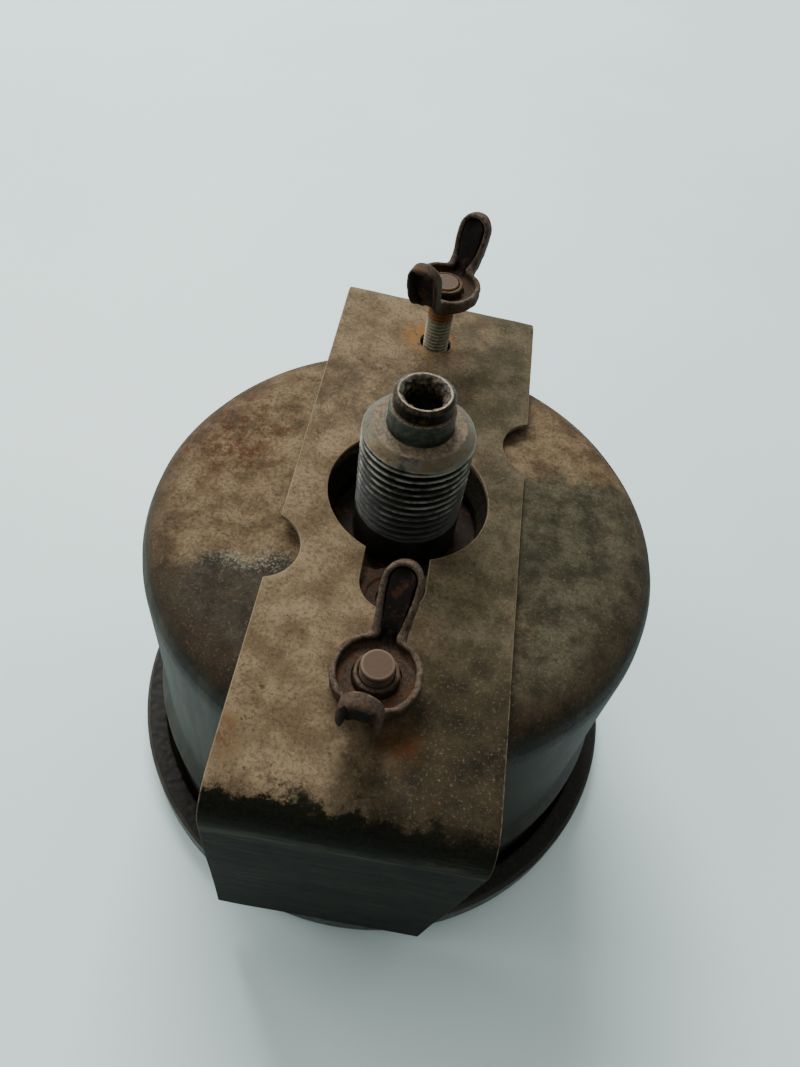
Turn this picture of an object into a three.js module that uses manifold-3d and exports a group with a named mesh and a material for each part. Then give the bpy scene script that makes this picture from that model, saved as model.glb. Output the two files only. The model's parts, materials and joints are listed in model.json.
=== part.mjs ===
// Cable-driven panel gauge, lying on its bezel with the drive neck up.
// Millimetres, +Z up. The origin is on the gauge's axis, on the plane of the bezel's front edge.
import * as THREE from 'three';
import { mergeVertices } from 'three/addons/utils/BufferGeometryUtils.js';
import Module from 'manifold-3d';

const wasm = await Module();
wasm.setup();

// ---- Driving dimensions ----
const GAP = 0.3; // between touching pieces
const ROUND = 40; // sides of a large circle
const SMALL = 16; // sides of a small one

const bezel = { radius: 52, height: 6.8, sheet: 0.8, window: 45.5, lip: 49.3 };
const glass = { radius: 48.5, thickness: 2 };
const seal = { inner: 46, outer: 50.4, thickness: 0.9 };
const reflector = { inner: 44, outer: 45.1 };
const gasket = { inner: 47.6, outer: 51.3, thickness: 1 };
const shell = {
  sheet: 0.9,
  footZ: 4.6,
  flange: 50.6,
  flangeHeight: 1.1,
  footRadius: 46.4,
  beadRadius: 46.9,
  beadZ: 20,
  flareTopZ: 28,
  radius: 44.8,
  corner: 8.5,
  backZ: 71.5,
  padRadius: 25,
  padSlope: 0.7, // the pad's edge runs this far in and out of padRadius
  padZ: 72.5,
  // The opening round the neck: the pad slopes in to a collar that stands on the washer.
  openingRadius: 14.5,
  collarRadius: 12.5,
  collarTopZ: 69.3,
  collarEndZ: 66.9,
};
const neck = {
  threadRadius: 9, // M18
  pitch: 1.5,
  rootRadius: 8.2,
  grooves: 9,
  grooveHalf: 0.6,
  firstGrooveZ: 86.5,
  shoulderZ: 92,
  shoulderRadius: 7.35,
  chamfer: 1.55,
  noseRadius: 5.2,
  noseZ: 95.9,
  bore: 4.05,
  innerEndZ: 60.5,
  spigotRadius: 6.5,
  spigotTopZ: 63.8,
  washer: { radius: 14.1, thickness: 0.8 },
  nut: { radius: 12.7, height: 1.7 },
};
const bush = { outer: 3.75, inner: 3.05, ringRadius: 4.7, bevel: 0.45, mouthRadius: 3.85, topZ: 98.6 };
const stud = {
  radius: 2.5, // M5
  headHeight: 1.5,
  tipHeight: 0.4,
  tipInset: 0.35,
  near: { y: -35.3, topZ: 80.7, headRadius: 3.6, headZ: 67.8 },
  far: { y: 41, topZ: 88.9, headRadius: 2.75, headZ: 61.5 },
};
const bracket = {
  width: 39.2,
  halfLength: 57.1,
  legDepth: 66.5,
  lean: 0.073, // how far each leg leans in, in radians
  sheet: 1,
  bend: 6,
  topZ: 74.75,
  roll: 0.05, // the loose clamp hangs a little askew, in radians
  holeRadius: 13.7,
  holeY: 1,
  lobeHalfWidth: 5.2,
  lobeEndY: -17.6,
  notchRadius: 6.45,
  notchX: 21.7,
  notchY: 16.1,
  studHoleRadius: 3.1,
};
// Each nut's ears bend up by earAngles. The first points heading degrees from +Y towards +X, the other away.
const nut = {
  boreRadius: 2.8,
  hubRadius: 3.4,
  hubHeight: 3.6,
  footRadius: 3.2,
  seatRadius: 4.3,
  footHeight: 0.8,
  near: { z: 75.1, earAngles: [46, 92], heading: 7 },
  far: { z: 85.2, earAngles: [72, 78], heading: 22 },
};
const wing = {
  sheet: 0.75,
  dishRadius: 6.75,
  wallHeight: 2.5,
  earHalfWidth: 3.15,
  earLength: 19,
  holeRadius: 3.7,
  bendStart: 4.4,
  bendRadius: 6,
};
const spindle = { radius: 2.6, bottomZ: 50, topZ: 91.5, socketHalf: 1.35, socketDepth: 8 };
const collar = { radius: 4.4, height: 1.7 };
const magnet = { radius: 13, bottomZ: 50.6, topZ: 56.6 };
const dragCup = { radius: 15.4, floorZ: 46.6, sheet: 0.5 };
const fieldCup = { inner: 16.6, outer: 17.6, topZ: 58 };
const staff = { radius: 0.9, bottomZ: 7.9, topZ: 49.4 };
const plates = { length: 58, width: 24, sheet: 2, pillarX: 24, frontZ: 20, rearZ: 61.5, fieldZ: 44 };
const pillarRadius = 2.5;
const dialScrew = { radius: 1.3, headRadius: 2.4, headHeight: 1 };
const dial = { radius: 43.6, sheet: 0.8, bottomZ: 12 };
const pointer = {
  z: 8.6,
  sheet: 0.7,
  reach: 38,
  tail: 10,
  tipHalf: 0.5,
  rootHalf: 1.6,
  rootY: 2.6,
  tailHalf: 2.2,
  hubRadius: 3,
  zeroAngle: 135,
  capRadius: 4,
  capStep: 0.7,
  stopRadius: 0.7,
  stopDistance: 30,
};
const hairspring = {
  z: 30,
  height: 1.2,
  turns: 3,
  inner: 3,
  outer: 10,
  half: 0.2,
  colletWall: 0.6,
  post: { radius: 0.9, x: 11.5, above: 0.8 },
};
const lamp = {
  y: -19.5,
  radius: 5,
  wall: 0.6,
  rimRadius: 5.7,
  bottomZ: 66.5,
  rimZ: 72.8,
  rimTopZ: 73.2,
  slot: { x: -1.5, half: 0.6 },
  bulbRadius: 3.4,
  capRadius: 2.2,
  capHeight: 2,
};

// ---- Materials ----
function material(name, color, roughness, metalness) {
  return new THREE.MeshStandardMaterial({ name, color, roughness, metalness });
}
const zincCase = material('zinc_case', 0x7b7467, 0.6, 0.7);
const bracketSteel = material('bracket_steel', 0x75695b, 0.65, 0.6);
const rustySteel = material('rusty_steel', 0x4b3f35, 0.8, 0.5);
const neckZinc = material('neck_zinc', 0x767872, 0.5, 0.8);
const brass = material('brass', 0x8f7440, 0.35, 0.9);
const rubber = material('black_rubber', 0x1c1c1b, 0.9, 0);
const blackPaint = material('bezel_black', 0x23231f, 0.5, 0.3);
const clearGlass = material('glass', 0xe8efee, 0.05, 0);
const dialPaint = material('dial_black', 0x141414, 0.7, 0);
const whitePaint = material('pointer_white', 0xe6e2d6, 0.6, 0);
const brightSteel = material('bright_steel', 0xa3a39d, 0.35, 0.9);
const aluminium = material('aluminium', 0xc4c6c6, 0.4, 0.9);
const darkMagnet = material('magnet_steel', 0x3d3d40, 0.6, 0.7);

// ---- Shape helpers ----
function toSolid(geometry) {
  const bare = geometry.index ? geometry.clone() : geometry;
  bare.deleteAttribute('normal');
  bare.deleteAttribute('uv');
  const merged = mergeVertices(bare, 1e-5);
  const vertProperties = merged.attributes.position.array;
  return new wasm.Manifold(new wasm.Mesh({ numProp: 3, vertProperties, triVerts: merged.index.array }));
}

function toGeometry(solid) {
  const { vertProperties, triVerts } = solid.getMesh();
  const geometry = new THREE.BufferGeometry();
  geometry.setAttribute('position', new THREE.BufferAttribute(new Float32Array(vertProperties), 3));
  geometry.setIndex(Array.from(triVerts));
  return geometry;
}

function cut(geometry, ...tools) {
  let solid = toSolid(geometry);
  for (const tool of tools) solid = solid.subtract(toSolid(tool));
  return toGeometry(solid);
}

// A closed profile of [radius, z] points turned about Z.
function turned(profile, sides = ROUND) {
  const points = profile.map(([r, z]) => new THREE.Vector2(r, z));
  if (THREE.ShapeUtils.area(points) < 0) points.reverse();
  if (profile[0][0] > 0 || profile[profile.length - 1][0] > 0) points.push(points[0].clone());
  return new THREE.LatheGeometry(points, sides).rotateX(Math.PI / 2);
}

function ring(inner, outer, z0, z1, sides = ROUND) {
  return turned([[inner, z0], [outer, z0], [outer, z1], [inner, z1]], sides);
}

function rod(radius, z0, z1, x = 0, y = 0, sides = SMALL) {
  const geometry = new THREE.CylinderGeometry(radius, radius, z1 - z0, sides).rotateX(Math.PI / 2);
  return geometry.translate(x, y, (z0 + z1) / 2);
}

function box(x0, x1, y0, y1, z0, z1) {
  const geometry = new THREE.BoxGeometry(x1 - x0, y1 - y0, z1 - z0);
  return geometry.translate((x0 + x1) / 2, (y0 + y1) / 2, (z0 + z1) / 2);
}

// Round holes on the X axis of a shape, each given as [x, radius].
function punchHoles(shape, holes) {
  for (const [x, radius] of holes) {
    shape.holes.push(new THREE.Path().absarc(x, 0, radius, 0, 2 * Math.PI));
  }
}

function extruded(shape, z0, thickness, curveSegments = 12) {
  const settings = { depth: thickness, bevelEnabled: false, curveSegments };
  return new THREE.ExtrudeGeometry(shape, settings).translate(0, 0, z0);
}

// Points of an arc about (cx, cy), from angle a0 to a1 in radians.
function arc(cx, cy, radius, a0, a1, steps) {
  return Array.from({ length: steps + 1 }, (_, i) => {
    const a = a0 + ((a1 - a0) * i) / steps;
    return [cx + radius * Math.cos(a), cy + radius * Math.sin(a)];
  });
}

const group = new THREE.Group();
function add(name, geometry, finish, parent = group) {
  const mesh = new THREE.Mesh(geometry, finish);
  mesh.name = name;
  parent.add(mesh);
  return mesh;
}

// ---- Front: bezel, glass, seals ----
function makeFront() {
  const { radius, height, sheet, window, lip } = bezel;
  const outside = [[radius - 1.2, 0], [radius - 0.35, 0.35], [radius, 1.2], [radius, height - 0.5]];
  const innerZ = height - sheet;
  const rear = [[radius - 0.5, height], [lip, height], [lip, innerZ], [radius - sheet, innerZ]];
  const inside = [[radius - sheet, sheet], [window, sheet], [window, 0]];
  add('bezel_ring', turned([...outside, ...rear, ...inside]), blackPaint);

  const glassZ = sheet + GAP;
  add('front_glass', rod(glass.radius, glassZ, glassZ + glass.thickness, 0, 0, ROUND), clearGlass);
  const sealZ = glassZ + glass.thickness + GAP;
  add('glass_seal', ring(seal.inner, seal.outer, sealZ, sealZ + seal.thickness), rubber);
  add('reflector_ring', ring(reflector.inner, reflector.outer, sealZ, dial.bottomZ - GAP), whitePaint);

  const gasketZ = height + GAP;
  add('panel_gasket', ring(gasket.inner, gasket.outer, gasketZ, gasketZ + gasket.thickness), rubber);
}

// ---- Case: a deep-drawn cup with its open end in the bezel ----
function makeCase() {
  const s = shell;
  const flangeTopZ = s.footZ + s.flangeHeight;
  const cornerR = s.radius - s.corner;
  const cornerZ = s.backZ - s.corner;
  const outside = [
    [s.flange, s.footZ], [s.flange, flangeTopZ], [s.footRadius, flangeTopZ],
    [s.footRadius, s.beadZ - 1.5], [s.beadRadius, s.beadZ - 0.6], [s.beadRadius, s.beadZ + 0.2],
    [s.radius + 0.5, s.flareTopZ - 4], [s.radius, s.flareTopZ],
    ...arc(cornerR, cornerZ, s.corner, 0, Math.PI / 2, 5),
    [s.padRadius + s.padSlope, s.backZ], [s.padRadius - s.padSlope, s.padZ],
  ];
  const inside = [
    [s.padRadius - s.padSlope, s.padZ - s.sheet], [s.padRadius + s.padSlope, s.backZ - s.sheet],
    ...arc(cornerR, cornerZ, s.corner - s.sheet, Math.PI / 2, 0, 4),
    [s.radius - s.sheet, s.flareTopZ], [s.radius - s.sheet + 0.5, s.flareTopZ - 4],
    [s.beadRadius - s.sheet, s.beadZ], [s.footRadius - s.sheet, s.beadZ - 1.5],
    [s.footRadius - s.sheet, s.footZ],
  ];
  const opening = [
    [s.openingRadius, s.padZ], [s.collarRadius, s.collarTopZ], [s.collarRadius, s.collarEndZ],
    [s.collarRadius + s.sheet, s.collarEndZ], [s.collarRadius + s.sheet, s.collarTopZ],
    [s.openingRadius + s.sheet / 2, s.padZ - s.sheet],
  ];
  const cup = turned([...outside, ...opening, ...inside]);
  const backHole = (radius, y) => rod(radius + GAP, cornerZ, s.padZ + 5, 0, y);
  const holes = [
    backHole(stud.radius, stud.near.y), backHole(stud.radius, stud.far.y), backHole(lamp.radius, lamp.y),
  ];
  add('case', cut(cup, ...holes), zincCase);
}

// ---- Threaded neck, its nut and washer, and the brass bush that guides the spindle ----
function makeNeck() {
  const n = neck;
  const thread = [];
  for (let i = n.grooves - 1; i >= 0; i -= 1) {
    const z = n.firstGrooveZ - i * n.pitch;
    const crests = [z - n.grooveHalf, z + n.grooveHalf];
    thread.push([n.threadRadius, crests[0]], [n.rootRadius, z], [n.threadRadius, crests[1]]);
  }
  const profile = [
    [n.bore, n.innerEndZ], [n.spigotRadius, n.innerEndZ], [n.spigotRadius, n.spigotTopZ],
    [n.threadRadius, n.spigotTopZ], ...thread, [n.threadRadius, n.shoulderZ - n.chamfer],
    [n.shoulderRadius, n.shoulderZ], [n.noseRadius, n.shoulderZ], [n.noseRadius, n.noseZ], [n.bore, n.noseZ],
  ];
  add('drive_neck', turned(profile, 28), neckZinc);

  const hole = n.threadRadius + GAP;
  const washerTopZ = shell.collarEndZ - GAP;
  const washerZ = washerTopZ - n.washer.thickness;
  add('neck_washer', ring(hole, n.washer.radius, washerZ, washerTopZ), rustySteel);
  const nutTopZ = washerZ - GAP;
  const hexagon = rod(n.nut.radius, nutTopZ - n.nut.height, nutTopZ, 0, 0, 6);
  add('neck_nut', cut(hexagon, rod(hole, n.innerEndZ, n.noseZ, 0, 0, ROUND)), brightSteel);

  const ringZ = n.noseZ + GAP;
  const bushProfile = [
    [bush.inner, n.innerEndZ + 0.5], [bush.outer, n.innerEndZ + 0.5], [bush.outer, ringZ],
    [bush.ringRadius, ringZ], [bush.ringRadius, bush.topZ - bush.bevel],
    [bush.ringRadius - bush.bevel, bush.topZ],
    [bush.mouthRadius, bush.topZ], [bush.inner, bush.topZ - 3],
  ];
  add('neck_bush', turned(bushProfile, 28), brass);
}

// ---- Lamp holder pushed into the case's back, with its bulb ----
function makeLamp() {
  const l = lamp;
  const inside = l.radius - l.wall;
  const holder = turned([
    [inside, l.bottomZ], [l.radius, l.bottomZ], [l.radius, l.rimZ], [l.rimRadius, l.rimZ],
    [l.rimRadius, l.rimTopZ], [0, l.rimTopZ], [0, l.rimTopZ - l.wall], [inside, l.rimTopZ - l.wall],
  ], SMALL).translate(0, l.y, 0);
  const { x, half } = l.slot;
  const slot = box(x - half, x + half, l.y - half, l.y + half, l.rimZ - 1, l.rimTopZ + 1);
  add('lamp_holder', cut(holder, slot), rustySteel);

  const dome = arc(0, l.bottomZ - l.bulbRadius + GAP, l.bulbRadius, 0, -Math.PI / 2, 6);
  const capTopZ = l.bottomZ + l.capHeight;
  const bulb = turned([[0, capTopZ], [l.capRadius, capTopZ], [l.capRadius, l.bottomZ], ...dome], SMALL);
  add('lamp_bulb', bulb.translate(0, l.y, 0), clearGlass);
}

// ---- Studs riveted into the case's back ----
function makeStud(place) {
  const { y, topZ, headRadius, headZ } = stud[place];
  const headTopZ = headZ + stud.headHeight;
  const profile = [
    [0, headZ], [headRadius, headZ], [headRadius, headTopZ], [stud.radius, headTopZ],
    [stud.radius, topZ - stud.tipHeight], [stud.radius - stud.tipInset, topZ], [0, topZ],
  ];
  add(`stud_${place}`, turned(profile, SMALL).translate(0, y, 0), rustySteel);
}

// ---- U-shaped clamp bracket ----
function makeBracket() {
  const b = bracket;
  const bendY = b.halfLength - b.bend;
  const legLength = (b.legDepth - b.bend - b.bend * Math.sin(b.lean)) / Math.cos(b.lean);
  // One side of the strip's section, at a given bend radius, from the plate to the leg's end.
  const side = (radius) => {
    const bent = arc(bendY, -b.bend, radius, Math.PI / 2, -b.lean, 8);
    const [y, z] = bent[bent.length - 1];
    return [...bent, [y - legLength * Math.sin(b.lean), z - legLength * Math.cos(b.lean)]];
  };
  // The whole section's face at that bend radius, from one leg's end over the plate to the other's.
  const face = (radius) => {
    const half = side(radius);
    return [...half.map(([y, z]) => [-y, z]).reverse(), ...half];
  };
  const section = [...face(b.bend), ...face(b.bend - b.sheet).reverse()];
  const outline = new THREE.Shape(section.map(([y, z]) => new THREE.Vector2(y, z)));
  // The section lies in YZ and is extruded across the strip's width.
  const strip = extruded(outline, -b.width / 2, b.width);
  strip.applyMatrix4(new THREE.Matrix4().makeBasis(
    new THREE.Vector3(0, 1, 0), new THREE.Vector3(0, 0, 1), new THREE.Vector3(1, 0, 0)));

  const depth = 5; // of the cutting tools, above and below the plate
  const punch = (radius, x, y, sides) => rod(radius, -depth, depth, x, y, sides);
  const keyhole = punch(b.holeRadius, 0, b.holeY, ROUND);
  const lobe = punch(b.lobeHalfWidth, 0, b.lobeEndY);
  const throat = box(-b.lobeHalfWidth, b.lobeHalfWidth, b.lobeEndY, b.holeY, -depth, depth);
  const notches = [-1, 1].map((s) => punch(b.notchRadius, s * b.notchX, b.holeY + s * b.notchY, 32));
  const studHoles = [stud.near, stud.far].map(({ y }) => punch(b.studHoleRadius, 0, y));
  const sheet = cut(strip, keyhole, lobe, throat, ...notches, ...studHoles);
  const mesh = add('clamp_bracket', sheet, bracketSteel);
  mesh.position.z = b.topZ;
  mesh.rotation.y = b.roll;
}

// ---- Pressed wing nut: a round dish with two channel-shaped ears bent up out of it ----
// The outline of the dish and ears, moved in by inset, as points in a fixed order.
function wingOutline(inset) {
  const radius = wing.dishRadius - inset;
  const half = wing.earHalfWidth - inset;
  const tipX = wing.earLength - wing.earHalfWidth;
  const joinAngle = Math.asin(half / radius);
  const joinX = radius * Math.cos(joinAngle);
  const flank = Array.from({ length: 4 }, (_, i) => [joinX + ((tipX - joinX) * (i + 1)) / 4, half]);
  const dish = arc(0, 0, radius, Math.PI / 2, joinAngle, 4);
  const quarter = [...dish, ...flank, ...arc(tipX, 0, half, Math.PI / 2, 0, 3).slice(1)];
  const lowerRight = quarter.slice(0, -1).reverse().map(([x, y]) => [x, -y]);
  const right = [...quarter, ...lowerRight];
  const left = right.slice(1, -1).reverse().map(([x, y]) => [-x, y]);
  return [...right, ...left];
}

// Bends a point of the flat blank up, past bendStart on either side of the dish.
function bendUp(x, z, earAngles) {
  const past = Math.abs(x) - wing.bendStart;
  if (past <= 0) return [x, z];
  const angle = THREE.MathUtils.degToRad(earAngles[x > 0 ? 0 : 1]);
  const turn = Math.min(past / wing.bendRadius, angle);
  const rest = past - wing.bendRadius * turn;
  const reach = (wing.bendRadius - z) * Math.sin(turn) + rest * Math.cos(turn);
  const height = wing.bendRadius - (wing.bendRadius - z) * Math.cos(turn) + rest * Math.sin(turn);
  return [Math.sign(x) * (wing.bendStart + reach), height];
}

function wingSheet(earAngles) {
  const outer = wingOutline(0);
  const inner = wingOutline(wing.sheet);
  const hole = outer.map(([x, y]) => {
    const a = Math.atan2(y, x);
    return [wing.holeRadius * Math.cos(a), wing.holeRadius * Math.sin(a)];
  });
  const mix = THREE.MathUtils.lerp;
  const between = (from, to, t) => from.map(([x, y], i) => [mix(x, to[i][0], t), mix(y, to[i][1], t)]);
  const steps = [0, 0.25, 0.5, 0.75];
  const loops = [
    ...steps.map((t) => [between(hole, outer, t), 0]), [outer, 0], [outer, wing.wallHeight],
    [inner, wing.wallHeight], [inner, wing.sheet],
    ...steps.map((t) => [between(inner, hole, t + 0.25), wing.sheet]),
  ];
  const count = outer.length;
  const positions = [];
  for (const [points, z] of loops) {
    for (const [x, y] of points) {
      const [bentX, bentZ] = bendUp(x, z, earAngles);
      positions.push(bentX, y, bentZ);
    }
  }
  const index = [];
  for (let k = 0; k < loops.length; k += 1) {
    const next = (k + 1) % loops.length;
    for (let i = 0; i < count; i += 1) {
      const j = (i + 1) % count;
      const [a, b, c, d] = [k * count + i, k * count + j, next * count + i, next * count + j];
      index.push(a, c, b, b, c, d);
    }
  }
  const geometry = new THREE.BufferGeometry();
  geometry.setAttribute('position', new THREE.Float32BufferAttribute(positions, 3));
  geometry.setIndex(index);
  return geometry;
}

function makeNut(place) {
  const { z, earAngles, heading } = nut[place];
  const turnedPart = new THREE.Group();
  turnedPart.position.set(0, stud[place].y, z);
  turnedPart.rotation.z = THREE.MathUtils.degToRad(90 - heading);
  group.add(turnedPart);
  const profile = [
    [nut.boreRadius, 0], [nut.footRadius, 0], [nut.seatRadius, nut.footHeight],
    [nut.hubRadius, nut.footHeight], [nut.hubRadius, nut.hubHeight], [nut.boreRadius, nut.hubHeight],
  ];
  add(`nut_bush_${place}`, turned(profile, SMALL), rustySteel, turnedPart);
  const sheet = wingSheet(earAngles).translate(0, 0, nut.footHeight + GAP);
  add(`wing_${place}`, sheet, rustySteel, turnedPart);
}

// ---- Movement: frame, magnet on the driven spindle, drag cup and pointer on the staff ----
function makeFrame() {
  const p = plates;
  const half = p.width / 2;
  const straight = p.length / 2 - half;
  const plate = (z, hole, pillarHole) => {
    const shape = new THREE.Shape();
    shape.absarc(straight, 0, half, -Math.PI / 2, Math.PI / 2);
    shape.absarc(-straight, 0, half, Math.PI / 2, (3 * Math.PI) / 2);
    const circles = [[0, hole], [-p.pillarX, pillarHole], [p.pillarX, pillarHole]];
    punchHoles(shape, circles);
    return extruded(shape, z, p.sheet);
  };
  add('front_plate', plate(p.frontZ, staff.radius + GAP, dialScrew.radius + GAP), brightSteel);
  add('rear_plate', plate(p.rearZ, neck.spigotRadius + GAP, dialScrew.radius + GAP), brightSteel);

  // The return cup's flange sits across both pillars.
  const field = toSolid(plate(p.fieldZ, staff.radius + GAP, pillarRadius + GAP));
  const wall = ring(fieldCup.inner, fieldCup.outer, p.fieldZ + p.sheet / 2, fieldCup.topZ);
  add('field_cup', toGeometry(field.add(toSolid(wall))), brightSteel);

  const bottomZ = p.frontZ + p.sheet + GAP;
  const topZ = p.rearZ - GAP;
  for (const [side, x] of [['left', -p.pillarX], ['right', p.pillarX]]) {
    add(`pillar_${side}`, rod(pillarRadius, bottomZ, topZ, x), brightSteel);
    // The dial screw's shank goes through the dial and the front plate's ear.
    const { radius, headRadius, headHeight } = dialScrew;
    const shoulderZ = dial.bottomZ - GAP;
    const headZ = shoulderZ - headHeight;
    const endZ = p.frontZ + p.sheet;
    const head = [[0, headZ], [headRadius, headZ], [headRadius, shoulderZ]];
    const profile = [...head, [radius, shoulderZ], [radius, endZ], [0, endZ]];
    add(`dial_screw_${side}`, turned(profile, SMALL).translate(x, 0, 0), brightSteel);
  }
}

function makeDrive() {
  const s = spindle;
  const half = s.socketHalf;
  const socket = box(-half, half, -half, half, s.topZ - s.socketDepth, s.topZ + 1);
  add('drive_spindle', cut(rod(s.radius, s.bottomZ, s.topZ), socket), brightSteel);
  const hole = s.radius + GAP;
  add('drive_magnet', ring(hole, magnet.radius, magnet.bottomZ, magnet.topZ), darkMagnet);
  const collarTopZ = neck.innerEndZ - GAP;
  add('spindle_collar', ring(hole, collar.radius, collarTopZ - collar.height, collarTopZ, SMALL), brass);
}

function makePointer() {
  const hole = staff.radius + GAP;
  add('pointer_staff', rod(staff.radius, staff.bottomZ, staff.topZ), brightSteel);

  const cup = dragCup;
  const floorTopZ = cup.floorZ + cup.sheet;
  const cupProfile = [
    [hole, cup.floorZ], [cup.radius, cup.floorZ], [cup.radius, magnet.topZ],
    [cup.radius - cup.sheet, magnet.topZ], [cup.radius - cup.sheet, floorTopZ], [hole, floorTopZ],
  ];
  add('speed_cup', turned(cupProfile), aluminium);

  const p = pointer;
  const blade = new THREE.Shape();
  blade.moveTo(-p.rootHalf, p.rootY);
  blade.lineTo(-p.tipHalf, p.reach);
  blade.lineTo(p.tipHalf, p.reach);
  blade.lineTo(p.rootHalf, p.rootY);
  blade.absarc(0, 0, p.hubRadius, Math.PI / 3, -Math.PI / 3, true);
  blade.lineTo(p.tailHalf, -p.tail);
  blade.lineTo(-p.tailHalf, -p.tail);
  blade.absarc(0, 0, p.hubRadius, (4 * Math.PI) / 3, (2 * Math.PI) / 3, true);
  punchHoles(blade, [[0, hole]]);
  const zeroAngle = THREE.MathUtils.degToRad(p.zeroAngle);
  add('pointer', extruded(blade, p.z, p.sheet, 8).rotateZ(zeroAngle), whitePaint);

  const capTopZ = p.z - GAP;
  const cap = turned([
    [0, capTopZ], [p.capRadius, capTopZ], [p.capRadius, capTopZ - p.capStep],
    [p.capRadius - 1, capTopZ - 2 * p.capStep], [0, capTopZ - 2 * p.capStep],
  ], SMALL);
  add('pointer_cap', cut(cap, rod(hole, capTopZ - p.capStep, capTopZ + 1)), blackPaint);

  // The stop stands just behind the pointer at zero.
  const stopAngle = zeroAngle + Math.PI / 2 - 0.1;
  const stopX = p.stopDistance * Math.cos(stopAngle);
  const stopY = p.stopDistance * Math.sin(stopAngle);
  add('pointer_stop', rod(p.stopRadius, p.z - 0.6, dial.bottomZ - GAP, stopX, stopY), brightSteel);
}

function makeHairspring() {
  const h = hairspring;
  const steps = h.turns * 16;
  const edge = (offset) => Array.from({ length: steps + 1 }, (_, i) => {
    const a = (i / steps) * h.turns * 2 * Math.PI;
    const r = h.inner + ((h.outer - h.inner) * i) / steps + offset;
    return new THREE.Vector2(r * Math.cos(a), r * Math.sin(a));
  });
  const strip = new THREE.Shape([...edge(h.half), ...edge(-h.half).reverse()]);
  add('hairspring', extruded(strip, h.z, h.height), brass);
  const colletRadius = h.inner - h.colletWall;
  add('hairspring_collet', ring(staff.radius + GAP, colletRadius, h.z, h.z + h.height, SMALL), brass);
  const postBottomZ = plates.frontZ + plates.sheet + GAP;
  const postTopZ = h.z + h.height + h.post.above;
  add('hairspring_post', rod(h.post.radius, postBottomZ, postTopZ, h.post.x), brass);
}

function makeDial() {
  const shape = new THREE.Shape().absarc(0, 0, dial.radius, 0, 2 * Math.PI);
  const screwHole = dialScrew.radius + 0.4;
  const holes = [[0, staff.radius + 1], [-plates.pillarX, screwHole], [plates.pillarX, screwHole]];
  punchHoles(shape, holes);
  add('dial', extruded(shape, dial.bottomZ, dial.sheet, 16), dialPaint);
}

makeFront();
makeCase();
makeNeck();
makeLamp();
makeStud('near');
makeStud('far');
makeBracket();
makeNut('near');
makeNut('far');
makeFrame();
makeDrive();
makePointer();
makeHairspring();
makeDial();

export default group;
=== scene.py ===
"""A cable-driven panel gauge lying face down, with its drive neck and clamp bracket up."""
import json
import math

import bmesh
import bpy
from mathutils import Matrix, Vector, noise
from mathutils.geometry import delaunay_2d_cdt


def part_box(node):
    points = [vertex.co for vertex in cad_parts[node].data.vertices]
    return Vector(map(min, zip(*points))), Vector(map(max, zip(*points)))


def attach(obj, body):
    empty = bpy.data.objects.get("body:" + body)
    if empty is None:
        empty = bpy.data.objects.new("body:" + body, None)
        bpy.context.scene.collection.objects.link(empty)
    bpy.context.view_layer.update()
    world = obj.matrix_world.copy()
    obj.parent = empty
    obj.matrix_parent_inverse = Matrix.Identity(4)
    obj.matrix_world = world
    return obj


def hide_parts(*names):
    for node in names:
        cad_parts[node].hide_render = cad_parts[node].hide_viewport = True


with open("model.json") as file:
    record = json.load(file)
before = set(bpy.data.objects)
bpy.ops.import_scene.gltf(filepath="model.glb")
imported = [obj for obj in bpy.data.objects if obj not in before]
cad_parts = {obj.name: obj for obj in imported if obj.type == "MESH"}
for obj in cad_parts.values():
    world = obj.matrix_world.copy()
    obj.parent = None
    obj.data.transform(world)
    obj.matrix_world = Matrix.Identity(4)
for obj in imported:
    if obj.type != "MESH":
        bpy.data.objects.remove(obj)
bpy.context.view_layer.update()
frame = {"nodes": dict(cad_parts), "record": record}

MM = 0.001
TAU = 2 * math.pi


# ---------------------------------------------------------------- shape helpers
def box_mm(node):
    """Lowest and highest corner of a CAD node, in millimetres."""
    low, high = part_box(node)
    return Vector(low) / MM, Vector(high) / MM


def smooth(low, high, value):
    """0 below low, 1 above high, and a smooth step between."""
    t = min(max((value - low) / (high - low), 0), 1)
    return t * t * (3 - 2 * t)


def rough(point, size, amount, seed=0):
    """Smooth noise of a point in millimetres, between about plus and minus amount."""
    shifted = Vector(point) / size + Vector((seed, 2.7 * seed, -1.3 * seed))
    return amount * noise.noise(shifted)


def arc(centre, radius, start, end, steps):
    """Points of an arc, with angles in radians."""
    angles = [start + (end - start) * i / steps for i in range(steps + 1)]
    return [(centre[0] + radius * math.cos(a), centre[1] + radius * math.sin(a)) for a in angles]


def straight(start, end, step):
    """Points from start up to but without end, about step apart."""
    count = max(1, round(math.dist(start, end) / step))
    return [tuple(a + (b - a) * i / count for a, b in zip(start, end)) for i in range(count)]


def rounded(corners, steps=4):
    """A closed outline of (x, y, fillet radius) corners."""
    outline = []
    for i, (x, y, radius) in enumerate(corners):
        corner = Vector((x, y))
        back = Vector(corners[i - 1][:2]) - corner
        ahead = Vector(corners[(i + 1) % len(corners)][:2]) - corner
        half = back.angle(ahead) / 2
        if radius == 0 or half > 1.56:
            outline.append((x, y))
            continue
        reach = min(radius / math.tan(half), 0.48 * back.length, 0.48 * ahead.length)
        middle = corner + (back.normalized() + ahead.normalized()).normalized() * reach / math.cos(half)
        start = corner + back.normalized() * reach - middle
        end = corner + ahead.normalized() * reach - middle
        turn = start.angle_signed(end)
        for k in range(steps + 1):
            outline.append(tuple(middle + Matrix.Rotation(-turn * k / steps, 2) @ start))
    return outline


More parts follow.
